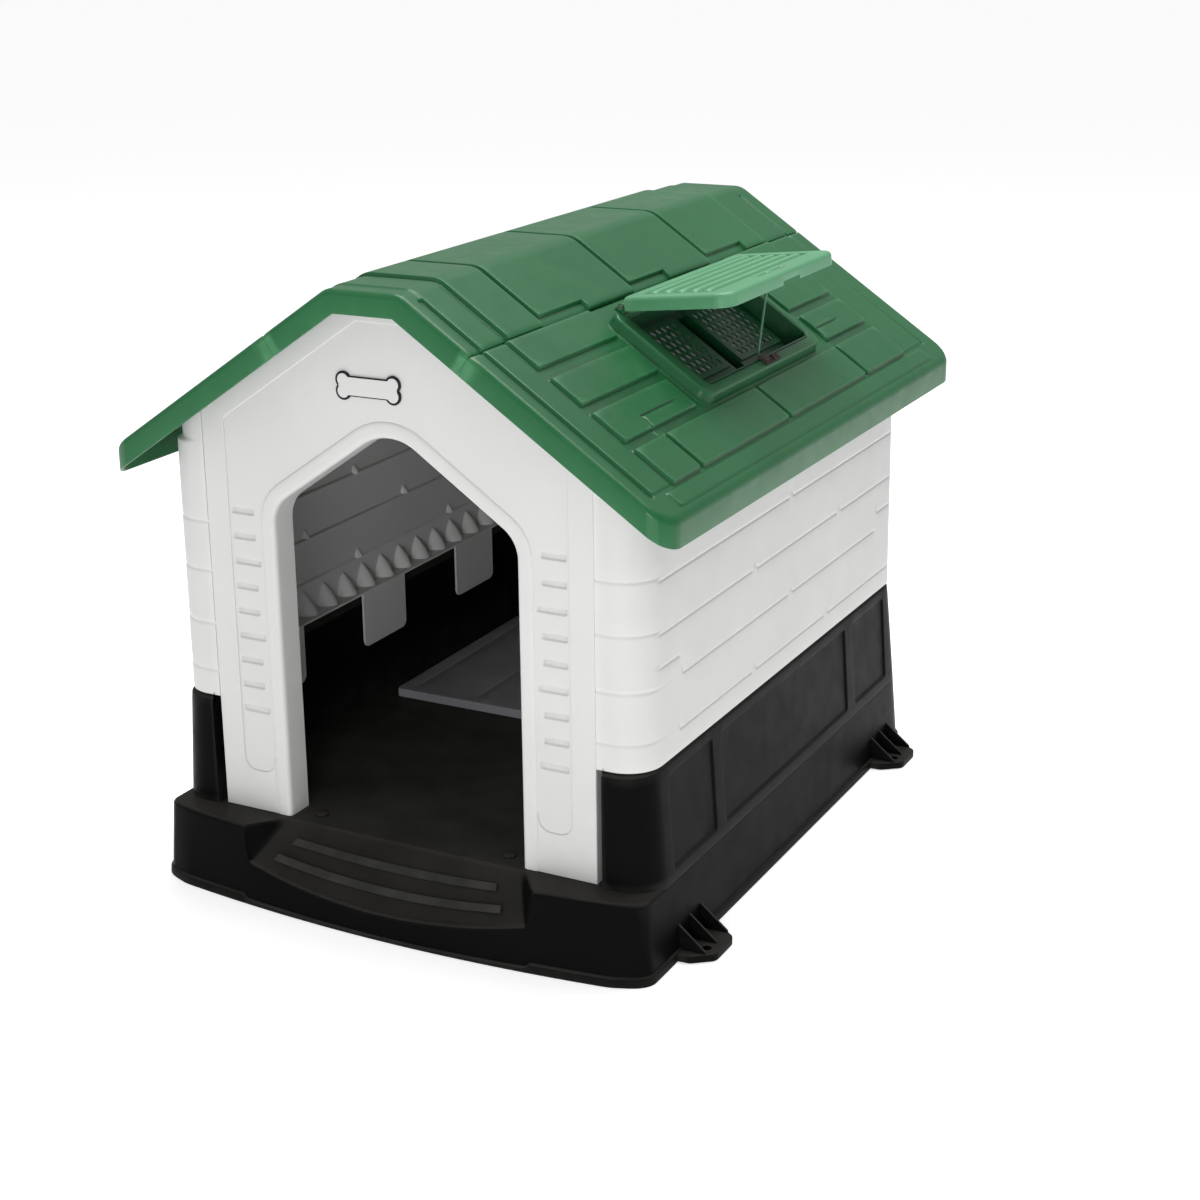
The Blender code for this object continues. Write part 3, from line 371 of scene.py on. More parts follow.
def rounded(corners, radii, steps=8):
    """Outline with each corner rounded by an arc."""
    outline = []
    count = len(corners)
    for i, (corner, radius) in enumerate(zip(corners, radii)):
        here = Vector(corner)
        if radius <= 0:
            outline.append(tuple(here))
            continue
        back = (Vector(corners[i - 1]) - here).normalized()
        ahead = (Vector(corners[(i + 1) % count]) - here).normalized()
        half = back.angle(ahead) / 2
        reach = radius / math.tan(half)
        centre = here + (back + ahead).normalized() * (radius / math.sin(half))
        first = here + back * reach - centre
        last = here + ahead * reach - centre
        sweep = first.angle_signed(last)
        for k in range(steps + 1):
            turn = -sweep * k / steps
            arm = Vector((first.x * math.cos(turn) - first.y * math.sin(turn),
                          first.x * math.sin(turn) + first.y * math.cos(turn)))
            outline.append(tuple(centre + arm))
    return outline


def plate(outlines, low, high, soft, place):
    """Flat plate with rounded edges from closed outlines (a, b); inner ones are holes. place(a, b, c) puts it."""
    curve = bpy.data.curves.new("plate", "CURVE")
    curve.dimensions = "2D"
    curve.fill_mode = "BOTH"
    curve.extrude = (high - low) / 2 - soft
    curve.bevel_depth = soft
    curve.bevel_resolution = 2
    curve.offset = -soft
    for outline in outlines:
        spline = curve.splines.new("POLY")
        spline.points.add(len(outline) - 1)
        for point, (a, b) in zip(spline.points, outline):
            point.co = (a, b, 0, 1)
        spline.use_cyclic_u = True
    obj = bpy.data.objects.new("plate", curve)
    bpy.context.scene.collection.objects.link(obj)
    bpy.context.view_layer.update()
    graph = bpy.context.evaluated_depsgraph_get()
    mesh = bpy.data.meshes.new_from_object(obj.evaluated_get(graph))
    work = bmesh.new()
    work.from_mesh(mesh)
    bmesh.ops.remove_doubles(work, verts=work.verts, dist=1e-6)
    work.verts.index_update()
    rows = np.array([v.co for v in work.verts])
    faces = [[v.index for v in face.verts] for face in work.faces]
    work.free()
    bpy.data.objects.remove(obj)
    bpy.data.curves.remove(curve)
    bpy.data.meshes.remove(mesh)
    return place(rows[:, 0], rows[:, 1], rows[:, 2] + (low + high) / 2), faces


def slab(a0, a1, b0, b1, low, high, soft, place):
    """Rectangular plate."""
    return plate([[(a0, b0), (a1, b0), (a1, b1), (a0, b1)]], low, high, soft, place)


def arc(a, b, radius, start, sweep, steps):
    """Points along an arc round (a, b), both ends included."""
    turns = [start + sweep * k / steps for k in range(steps + 1)]
    return [(a + radius * math.cos(turn), b + radius * math.sin(turn)) for turn in turns]


def tube(path, radii, sides):
    """Round body along points, with its ends closed by small domes."""
    path = [Vector(p) for p in path]
    first = (path[1] - path[0]).normalized()
    last = (path[-1] - path[-2]).normalized()
    path = [path[0] - first * radii[0] * 0.5] + path + [path[-1] + last * radii[-1] * 0.5]
    radii = [radii[0] * 0.55] + list(radii) + [radii[-1] * 0.55]
    rings = []
    side = first.orthogonal().normalized()
    for i, (point, radius) in enumerate(zip(path, radii)):
        ahead = (path[min(i + 1, len(path) - 1)] - path[max(i - 1, 0)]).normalized()
        side = (side - ahead * side.dot(ahead)).normalized()
        other = ahead.cross(side)
        rings.append(np.array([point + a * side + b * other
                               for a, b in arc(0, 0, radius, 0, 2 * math.pi, sides)[:-1]]))
    return loft(rings)


def curl(p, steps):
    """Smooth line through points (Catmull-Rom)."""
    p = [2 * p[0] - p[1]] + p + [2 * p[-1] - p[-2]]
    line = []
    for i in range(1, len(p) - 2):
        for k in range(steps):
            t = k / steps
            a, b, c, d = p[i - 1:i + 3]
            line.append(0.5 * ((2 * b) + (c - a) * t + (2 * a - 5 * b + 4 * c - d) * t * t
                               + (3 * b - a - 3 * c + d) * t ** 3))
    line.append(p[-2])
    return line


def piece(name, bodies, material, body, nodes=(), sharp=38):
    """One visible piece from closed bodies."""
    rows, faces = join(*bodies)
    mesh = bpy.data.meshes.new(name)
    mesh.from_pydata(rows.tolist(), [], faces)
    work = bmesh.new()
    work.from_mesh(mesh)
    bmesh.ops.recalc_face_normals(work, faces=work.faces)
    work.to_mesh(mesh)
    work.free()
    mesh.shade_smooth()
    mesh.set_sharp_from_angle(angle=math.radians(sharp))
    obj = bpy.data.objects.new(name, mesh)
    bpy.context.scene.collection.objects.link(obj)
    mesh.materials.append(material)
    even = obj.modifiers.new("even_shading", "WEIGHTED_NORMAL")
    even.keep_sharp = True
    even.weight = 50
    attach(obj, body)
    if nodes:
        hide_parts(*nodes)
    return obj


# ---------------------------------------------------------------- materials

def linear(r, g, b):
    """Scene colour from a 0 to 255 display colour."""
    found = []
    for c in (r, g, b):
        c /= 255
        found.append(c / 12.92 if c <= 0.04045 else ((c + 0.055) / 1.055) ** 2.4)
    return found


def plastic(name, colour, rough, edge_wear_and_highlight=None, edge_wear_and_highlight_amount=0.35, patch=0.10, grain=0.05, dust_and_sheen=0.0,
            metallic=0.0, gloss=0.4, crease_shade_strength=0.5):
    """Moulded plastic: colour drifts softly, edges are lighter (part rubbed wear, part painted highlight), creases
    carry painted shade, upward faces are lighter (part dust, part painted sheen), and the skin has a fine
    spark-eroded grain.
    """
    material = bpy.data.materials.new(name)
    material.use_nodes = True
    tree = material.node_tree
    shader = tree.nodes["Principled BSDF"]
    shader.inputs["Metallic"].default_value = metallic
    shader.inputs["Specular IOR Level"].default_value = gloss
    base = linear(*colour)
    edge_wear_and_highlight_colour = linear(*(edge_wear_and_highlight or [min(255, c + 26) for c in colour]))

    def node(kind, inputs, **settings):
        """New node; an input is a socket to link or a value to set."""
        made = tree.nodes.new(kind)
        for key, value in settings.items():
            setattr(made, key, value)
        for key, value in inputs.items():
            if isinstance(value, bpy.types.NodeSocket):
                tree.links.new(value, made.inputs[key])
            else:
                made.inputs[key].default_value = value
        return made

    def noise(scale, detail, roughness=0.55):
        return node("ShaderNodeTexNoise", {"Scale": scale, "Detail": detail, "Roughness": roughness,
                                           "Vector": coordinates.outputs["Object"]}).outputs["Fac"]

    def ranged(value, a, b, low, high):
        return node("ShaderNodeMapRange", {"Value": value, "From Min": a, "From Max": b,
                                           "To Min": low, "To Max": high}).outputs["Result"]

    def mix(factor, first, second):
        first, second = ((*c, 1) if isinstance(c, list) else c for c in (first, second))
        return node("ShaderNodeMix", {"Factor": factor, "A": first, "B": second},
                    data_type="RGBA").outputs["Result"]

    def product(a, b):
        return node("ShaderNodeMath", {0: a, 1: b}, operation="MULTIPLY").outputs[0]

    coordinates = node("ShaderNodeTexCoord", {})
    geometry = node("ShaderNodeNewGeometry", {})
    cloud = ranged(noise(5.5, 3), 0.32, 0.68, 0, 1)
    flow = ranged(noise(31, 4), 0.3, 0.7, 0, 1)
    tint = mix(cloud, [c * (1 - patch) for c in base], [min(1.0, c * (1 + patch)) for c in base])
    speck = ranged(noise(420, 2), 0.60, 0.75, 0, 0.10)
    tint = mix(speck, tint, [c * 0.6 for c in base])
    # Convex edges are lightened towards the pale edge colour: partly rubbed wear, partly a painted highlight along
    # the edges.
    rubbed_and_highlit_edge = ranged(geometry.outputs["Pointiness"], 0.515, 0.60, 0, edge_wear_and_highlight_amount)
    tint = mix(product(rubbed_and_highlit_edge, ranged(flow, 0, 1, 0.35, 1)), tint, edge_wear_and_highlight_colour)
    # Concave creases and grooves are darkened to a quarter of the base colour: painted shade where the relief lies in
    # shadow.
    painted_crease_shade = ranged(geometry.outputs["Pointiness"], 0.43, 0.492, crease_shade_strength, 0)
    tint = mix(painted_crease_shade, tint, [c * 0.25 for c in base])
    if dust_and_sheen > 0:
        # Upward-facing faces are lightened towards pale grey: partly dust, partly a painted sheen for the sky
        # reflected in upward faces, strongest on the base and its ramp.
        split = node("ShaderNodeSeparateXYZ", {"Vector": geometry.outputs["Normal"]})
        upward_dust_and_sheen = ranged(split.outputs["Z"], 0.35, 1.0, 0, dust_and_sheen)
        tint = mix(product(upward_dust_and_sheen, ranged(noise(14, 5), 0.3, 0.7, 0.6, 1)), tint, linear(172, 168, 160))
    wave = node("ShaderNodeBump", {"Strength": 0.12, "Distance": 0.0012, "Height": noise(9, 2)})
    bump = node("ShaderNodeBump", {"Strength": grain * 4, "Distance": 0.00025, "Height": noise(1300, 2, 0.6),
                                   "Normal": wave.outputs["Normal"]})
    for name_in, socket in (("Base Color", tint), ("Roughness", ranged(flow, 0, 1, rough - 0.05, rough + 0.07)),
                            ("Normal", bump.outputs["Normal"])):
        tree.links.new(socket, shader.inputs[name_in])
    return material


ROOF = plastic("roof_plastic", (18, 88, 47), 0.36, (92, 156, 112), edge_wear_and_highlight_amount=0.6, patch=0.08, dust_and_sheen=0.03,
               gloss=0.30, crease_shade_strength=0.9)
VENT = plastic("vent_plastic", (10, 72, 40), 0.36, (60, 120, 86), patch=0.12, gloss=0.45)
LID = plastic("lid_plastic", (76, 142, 100), 0.42, (160, 204, 176), edge_wear_and_highlight_amount=0.5, patch=0.07, dust_and_sheen=0.03,
              crease_shade_strength=1.0)
ROD = plastic("rod_plastic", (48, 104, 70), 0.40, (120, 170, 138), patch=0.12)
WALL = plastic("wall_plastic", (200, 200, 199), 0.44, (226, 226, 224), patch=0.020, grain=0.04,
               gloss=0.25, crease_shade_strength=0.18)
BASE = plastic("base_plastic", (11, 11, 11), 0.34, (78, 78, 76), patch=0.18, grain=0.06, dust_and_sheen=0.11,
               gloss=0.02)
FLOOR = plastic("floor_plastic", (148, 146, 152), 0.38, (180, 178, 180), edge_wear_and_highlight_amount=0.6, patch=0.14, dust_and_sheen=0.03,
                gloss=0.5, crease_shade_strength=0.9)
INK = plastic("badge_ink", (16, 16, 16), 0.45, (60, 60, 60), patch=0.25, gloss=0.2)
BROWN = plastic("catch_plastic", (34, 24, 20), 0.5, (80, 62, 54), patch=0.2)
ZINC = plastic("zinc_steel", (172, 174, 176), 0.32, (210, 212, 214), patch=0.15, metallic=1.0)


# ---------------------------------------------------------------- roof

ROWS = ((0.1060, 0.1525), (0.1690, 0.2150), (0.2280, 0.2765), (0.2885, 0.3445))


def bricks(side):
    """Brick faces (y0, y1, s0, s1) of one slope."""
    found = []
    for row, (s0, s1) in enumerate(ROWS):
        if side > 0 and row < 3:
            found.append((0.034, 0.222 if row < 2 else 0.214, s0, s1))
            found.append((0.603 if row < 2 else 0.611, 0.7465, s0, s1))
        elif row == 3:
            found += [(0.034, 0.104, s0, s1), (0.111, 0.352, s0, s1)]
            found += [(0.359, 0.604, s0, s1), (0.611, 0.7465, s0, s1)]
        elif row == 1:
            found += [(0.034, 0.148, s0, s1), (0.155, 0.388, s0, s1)]
            found += [(0.395, 0.628, s0, s1), (0.635, 0.7465, s0, s1)]
        else:
            found += [(0.034, 0.222, s0, s1), (0.229, 0.404, s0, s1)]
            found += [(0.411, 0.596, s0, s1), (0.603, 0.7465, s0, s1)]
    return found


STRIPS = ((-0.0120, 0.0295, 0.095, 0.3430), (0.7515, 0.8170, 0.095, 0.3430))
EAVE_BAND = (0.010, 0.795, 0.3500, 0.3700)
LIP_GROOVES = ((-0.0205, -0.0125), (0.8180, 0.8260))
LIP_GROOVE_END = 0.346
VENT_HOLE = (0.246, 0.566, 0.133, 0.272)
# Short bent grooves on the bricks beside the vent.
BENT_GROOVES = (((0.183, 0.2575), (0.103, 0.2575), (0.100, 0.2775)),
                ((0.681, 0.2555), (0.616, 0.2555), (0.613, 0.2765)))


def slope_height(side):
    def height(y, s):
        h = np.zeros_like(y)
        for y0, y1, s0, s1 in bricks(side):
            h = np.maximum(h, BRICK_H * rise(inside(y, s, y0, y1, s0, s1, 0.004), BRICK_SOFT))
        for rect in STRIPS:
            h = np.maximum(h, 0.0016 * rise(inside(y, s, *rect, 0.003), 0.0030))
        h = np.maximum(h, 0.0022 * rise(inside(y, s, *EAVE_BAND, 0.003), 0.0030))
        for y0, y1 in LIP_GROOVES:
            h = h - 0.0025 * rise(inside(y, s, y0, y1, 0.05, LIP_GROOVE_END, 0.003), 0.0034)
        if side > 0:
            for path in BENT_GROOVES:
                h = h - 0.0022 * rise(0.0016 - near_line(y, s, path), 0.0020)
        return h
    return height


def squeezed(gap):
    """Distance from a roof seam: the fold's reach there is drawn in, so that the seam keeps a tight edge."""
    near = gap * (0.25 + 0.75 * smooth(np.clip(gap / ROOF_EDGE, 0, 1)))
    return np.where(gap < ROOF_EDGE, near, gap)


def seam_floor(y, gap):
    """Lowest n of the folded edge: no lip at a seam, away from the roof's two ends."""
    ends = (y < ROOF_FRONT + ROOF_EDGE + 1e-6) | (y > ROOF_BACK - ROOF_EDGE - 1e-6)
    return np.where((gap < ROOF_EDGE + 1e-6) & ~ends, -ROOF_SKIN, -1.0)


def roof_cover(us, vs, box, radii, place, height, floor, holes=()):
    profile = fold(ROOF_EDGE, 0.0, -ROOF_LIP, LIP_WALL, -ROOF_SKIN)
    return moulded(us, vs, box, radii, place, height, profile, -ROOF_SKIN, floor, holes)


def make_slope(side):
    edge = ROOF_EDGE
    box = (ROOF_FRONT, ROOF_BACK, SLOPE_START, EAVE_S)
    ys = [y for rect in (*STRIPS, *LIP_GROOVES, EAVE_BAND) for y in rect[:2]]
    ss = [*EAVE_BAND[2:], STRIPS[0][3], LIP_GROOVE_END]
    for y0, y1, s0, s1 in bricks(side):
        ys += [y0, y1]
        ss += [s0, s1]
    if side > 0:
        for path in BENT_GROOVES:
            ys += [path[1][0], path[2][0]]
            ss += [path[0][1]]
    keep_y = [box[0] + EAVE_R, box[1] - EAVE_R]
    keep_s = [box[3] - EAVE_R]
    if side > 0:
        keep_y += VENT_HOLE[:2]
        keep_s += VENT_HOLE[2:]
    us = grid_lines(box[0] + edge, box[1] - edge, 0.010, ys, 0.0024, keep_y)
    vs = grid_lines(box[2] + edge, box[3] - edge, 0.009, ss, 0.0024, keep_s)

    def place(y, s, n):
        # The eave lip hangs straight down.
        lean = np.maximum(-np.asarray(n, float), 0) * math.tan(ROOF_ANGLE) * np.clip((s - 0.300) / 0.040, 0, 1)
        return on_slope(side, y, SLOPE_START + squeezed(s - SLOPE_START) + lean, n)

    bodies = [roof_cover(us, vs, box, (0, 0, EAVE_R, EAVE_R), place, slope_height(side),
                         lambda y, s: seam_floor(y, s - SLOPE_START), [VENT_HOLE] if side > 0 else ())]
    # Tongue that laps under the ridge cap.
    bodies.append(swept([on_slope(side, np.linspace(0.045, 0.749, 3), s, n) for s, n in
                         ((0.0865, -0.0080), (0.0860, -0.0070), (0.0865, -0.0056), (0.1060, -0.0056),
                          (0.1080, -0.0045), (0.1240, -0.0045), (0.1245, -0.0085))]))
    if side > 0:
        bodies += [vent_rim()] + hinge_lugs()
    word = WORD[side]
    piece("roof_slope_" + word + "_cover", bodies, ROOF, "house", ["roof_slope_" + word])


def vent_rim():
    """Raised rim round the vent, through (y0, y1, s0, s1, corner radius, n) rings."""
    rings = []
    for y0, y1, s0, s1, radius, n in (
        (0.2280, 0.5780, 0.1262, 0.2845, 0.0205, -0.0020),
        (0.2280, 0.5780, 0.1262, 0.2845, 0.0205, 0.0002),
        (0.2292, 0.5768, 0.1264, 0.2834, 0.0195, 0.0006),
        (0.2306, 0.5754, 0.1266, 0.2822, 0.0185, 0.0018),
        (0.2322, 0.5738, 0.1269, 0.2808, 0.0175, 0.0052),
        (0.2336, 0.5724, 0.1271, 0.2794, 0.0165, 0.0095),
        (0.2345, 0.5715, 0.1274, 0.2786, 0.0160, 0.0120),
        (0.2357, 0.5703, 0.1280, 0.2776, 0.0152, 0.0134),
        (0.2380, 0.5680, 0.1292, 0.2758, 0.0140, RIM_H),
        (0.2515, 0.5605, 0.1368, 0.2672, 0.0122, RIM_H),
        (0.2530, 0.5590, 0.1381, 0.2659, 0.0110, 0.0135),
        (0.2538, 0.5582, 0.1388, 0.2652, 0.0103, 0.0125),
        (0.2540, 0.5580, 0.1390, 0.2650, 0.0100, 0.0110),
        (0.2540, 0.5580, 0.1390, 0.2650, 0.0100, -0.0080),
        (0.2450, 0.5670, 0.1320, 0.2730, 0.0120, -0.0080),
    ):
        outline = np.array(rounded([(y0, s0), (y1, s0), (y1, s1), (y0, s1)], [radius] * 4))
        rings.append(on_slope(1, outline[:, 0], outline[:, 1], n))
    return hoop(rings)


def hinge_lugs():
    outline = [(HINGE_S + 0.0062, RIM_H - 0.003), (HINGE_S + 0.0049, RIM_H + 0.0012)]
    outline += arc(HINGE_S, HINGE_N, 0.0045, 0, math.pi, 12)
    outline += [(HINGE_S - 0.0049, RIM_H + 0.0012), (HINGE_S - 0.0062, RIM_H - 0.003)]
    return [plate([outline], y0, y0 + HINGE_WIDE, 0.0008, lambda s, n, y: on_slope(1, y, s, n))
            for y0 in (0.2515, 0.5505)]


CAP_BLOCKS = (
    ((0.0420, 0.1215, 0.1000),),
    ((0.1285, 0.2390, 0.0900), (0.2300, 0.3475, 0.1000)),
    ((0.3545, 0.4550, 0.0900), (0.4460, 0.5655, 0.1000)),
    ((0.5725, 0.6880, 0.0900), (0.6790, 0.7415, 0.1000)),
)


CAP_STRIPS = ((-0.0120, 0.0355), (0.7480, 0.8170))
CAP_GROOVE = RIDGE_X + 0.0155


def cap_height(y, t):
    h = np.zeros_like(y)
    for block in CAP_BLOCKS:
        into = np.full_like(y, -1.0)
        for y0, y1, reach in block:
            into = np.maximum(into, inside(y, t, y0, y1, -RIDGE_X - reach, RIDGE_X + reach, 0.004))
        h = np.maximum(h, BRICK_H * rise(into, BRICK_SOFT))
    for y0, y1 in CAP_STRIPS:
        h = np.maximum(h, 0.0016 * rise(inside(y, t, y0, y1, -0.2, 0.2, 0.002), 0.0030))
    for y0, y1 in LIP_GROOVES:
        for t0, t1 in ((CAP_GROOVE, 0.20), (-0.20, -CAP_GROOVE)):
            h = h - 0.0025 * rise(inside(y, t, y0, y1, t0, t1, 0.003), 0.0034)
    return h


def make_cap():
    edge = ROOF_EDGE
    far = RIDGE_X + CAP_END
    box = (ROOF_FRONT, ROOF_BACK, -far, far)
    ys = [y for part in (LIP_GROOVES, CAP_STRIPS, *CAP_BLOCKS) for span in part for y in span[:2]]
    ts = [side * (RIDGE_X + t) for side in (1, -1) for t in (0.0900, 0.1000, 0.0155, -0.006, 0.006, 0)]
    us = grid_lines(box[0] + edge, box[1] - edge, 0.010, ys, 0.0024)
    vs = grid_lines(box[2] + edge, box[3] - edge, 0.010, ts, 0.0024)

    def place(y, t, n):
        return on_cap(y, np.sign(t) * (far - squeezed(far - np.abs(t))), n)

    cover = roof_cover(us, vs, box, (0, 0, 0, 0), place, cap_height,
                       lambda y, t: seam_floor(y, far - np.abs(t)))
    piece("roof_ridge_cover", [cover], ROOF, "house", ["roof_ridge_cap"])


# ---------------------------------------------------------------- vent lid and stay rod

# Sunk field, raised bars and finger slots of the lid, each (y0, y1, u0, u1).
LID_FIELD = (LID_Y[0] + 0.018, LID_Y[1] - 0.018, 0.022, 0.112)
LID_BARS = [(LID_Y[0] + 0.026, LID_Y[1] - 0.026, 0.028 + 0.0170 * i, 0.038 + 0.0170 * i) for i in range(5)]
LID_SLOTS = ((0.362, 0.399, 0.1202, 0.1278), (0.404, 0.441, 0.1202, 0.1278))


def lid_height(y, u):
    h = -0.0034 * rise(inside(y, u, *LID_FIELD, 0.004), 0.0030)
    for rect in LID_BARS:
        h = h + 0.0042 * rise(inside(y, u, *rect, 0.0048), 0.0046)
    for rect in LID_SLOTS:
        h = h - 0.0018 * rise(inside(y, u, *rect, 0.0030), 0.0022)
    return h


def make_lid():
    edge = 0.0055
    y0, y1 = LID_Y
    box = (y0, y1, LID_BACK, LID_REACH)
    radii = (LID_BACK_CORNER, LID_BACK_CORNER, LID_CORNER, LID_CORNER)
    rects = (LID_FIELD, *LID_BARS, *LID_SLOTS)
    us = grid_lines(y0 + edge, y1 - edge, 0.008, [y for rect in rects for y in rect[:2]], 0.0018,
                    [y0 + LID_CORNER, y1 - LID_CORNER, y0 + LID_BACK_CORNER, y1 - LID_BACK_CORNER,
                     LID_NOTCH[0] - 0.001, *LID_NOTCH, LID_NOTCH[1] + 0.001])
    vs = grid_lines(LID_BACK + edge, LID_REACH - edge, 0.006, [u for rect in rects for u in rect[2:]], 0.0018,
                    [LID_REACH - LID_CORNER, LID_BACK + LID_BACK_CORNER])
    under = LID_TOP - 0.0036

    def floor(y, u):
        notch = (u > LID_REACH - edge - 1e-6) & (y > LID_NOTCH[0] - 1e-6) & (y < LID_NOTCH[1] + 1e-6)
        return np.where(notch, 0.0012, -1.0)

    bodies = [moulded(us, vs, box, radii, on_lid, lid_height,
                      fold(edge, LID_TOP, LID_LIP, 0.0028, under), under, floor)]
    # Ribs under the lid.
    for rect in ((y0 + 0.0025, y1 - 0.0025, 0.0235, 0.0250), (y0 + 0.0025, y1 - 0.0025, 0.1085, 0.1100),
                 (0.318, 0.3195, 0.008, 0.139), (0.4905, 0.492, 0.008, 0.139)):
        bodies.append(slab(*rect, 0.0058, under + 0.0005, 0.0003, on_lid))
    # Hinge knuckles, then the two ears that hold the rod's pin.
    knuckle = arc(0, 0, 0.0045, math.pi / 2, math.pi, 12) + [(0.0078, -0.0035), (0.0078, 0.0048)]
    pin_ear = [(STAY_U + 0.0048, 0.0095), (STAY_U - 0.0048, 0.0095)]
    pin_ear += arc(STAY_U, STAY_W, 0.0046, math.pi, math.pi, 10)
    for outline, low, wide, soft in ((knuckle, 0.2605, HINGE_WIDE, 0.0006), (knuckle, 0.5415, HINGE_WIDE, 0.0006),
                                     (pin_ear, STAY_Y - 0.0080, 0.003, 0.0005),
                                     (pin_ear, STAY_Y + 0.0050, 0.003, 0.0005)):
        bodies.append(plate([outline], low, low + wide, soft, lambda u, w, y: on_lid(y, u, w)))
    piece("vent_lid_cover", bodies, LID, "lid", ["vent_lid"])


def make_rod():
    """Round rod: an eye on the lid pin, a thicker upper end and a hooked foot."""
    top = Vector(on_lid(STAY_Y, STAY_U, STAY_W)[0])
    foot = Vector(on_slope(1, STAY_Y, STAY_FOOT_S, STAY_FOOT_N)[0])
    along = (foot - top).normalized()
    side = Vector((0, 1, 0))
    line = [top + along * 0.003, top + along * 0.012, top + along * 0.024, top + along * 0.027]
    thin = STAY_R * 0.82
    radii = [STAY_R * 1.15, STAY_R * 1.15, STAY_R * 1.15, thin]
    line += [foot - along * 0.030, foot - along * 0.008]
    radii += [thin, thin]
    hook = curl([foot - along * 0.0050, foot - along * 0.0012 + side * 0.0012,
                 foot + side * 0.0040, foot + side * 0.0068], 4)
    line += hook
    radii += [thin] * len(hook)
    across = along.cross(side)
    rings = [np.array([top + a * along + b * across + side * shift
                       for a, b in arc(0, 0, radius, 0, 2 * math.pi, 20)[:-1]])
             for radius, shift in ((0.0016, -0.0040), (0.0034, -0.0042), (0.0040, -0.0036), (0.0040, 0.0036),
                                   (0.0034, 0.0042), (0.0016, 0.0040))]
    piece("stay_rod_round", [tube(line, radii, 16), hoop(rings)], ROD, "stay", ["stay_rod"])


# ---------------------------------------------------------------- end panels

def door_outline(grow, foot):
    half = DOOR_HALF + grow
    slope = math.radians(34.5)
    shoulder = DOOR_SHOULDER_Z + 0.0175 + grow * math.tan((math.pi / 2 - slope) / 2)
    peak = shoulder + half * math.tan(slope)
    corners = [(-half, foot), (half, foot), (half, shoulder), (0.0, peak), (-half, shoulder)]
    return rounded(corners, [0, 0, 0.040 + grow, 0.060 + grow, 0.040 + grow], 14)


def panel_outline(inset, foot):
    half = PANEL_HALF - inset
    drop = -(ROOF_SKIN + 0.0006) - inset
    flat = RIDGE_X + drop * math.tan(ROOF_ANGLE / 2)
    top = RIDGE_Z + drop
    low = float(roof_z(half, drop))
    return [(-half, foot), (half, foot), (half, low), (flat, top), (-flat, top), (-half, low)]


def within(outline, x, z):
    """Which points lie inside a closed outline."""
    hit = np.zeros(x.shape, bool)
    count = len(outline)
    for i in range(count):
        (x0, z0), (x1, z1) = outline[i], outline[(i + 1) % count]
        if z0 == z1:
            continue
        cross = ((z0 > z) != (z1 > z)) & (x < (x1 - x0) * (z - z0) / (z1 - z0) + x0)
        hit ^= cross
    return hit


def sheet(us, vs, wanted, face, back):
    """Closed sheet over the wanted cells of a grid; its ragged edge lies inside a frame or trim."""
    gu, gv = np.meshgrid(us, vs, indexing="ij")
    faces = cell_faces(wanted(*cell_middles(gu, gv)), border=True)
    used = sorted({i for corners in faces for i in corners})
    number = {old: new for new, old in enumerate(used)}
    rows = np.concatenate([face(gu, gv), back(gu, gv)])
    return rows[used], [[number[i] for i in corners] for corners in faces]


FRONT_SLOTS = [0.2295 + SLOT_PITCH * i for i in range(9)]
PANEL_FOOT = FLOOR_Z + 0.0003
# Flange round the back of an end panel: (inset, depth).
PANEL_FLANGE = ((0.0001, 0.0060), (0.0, 0.0374), (0.0006, 0.0380), (0.0029, 0.0380), (0.0035, 0.0374),
                (0.0035, 0.0060))
# Upper corners of the sunk field, from right to left.
FIELD_TOP = [(FIELD_HALF, 0.587), (0.036, 0.7145), (-0.036, 0.7145), (-FIELD_HALF, 0.587)]


def front_place(a, b, c):
    return house(a, c, b)


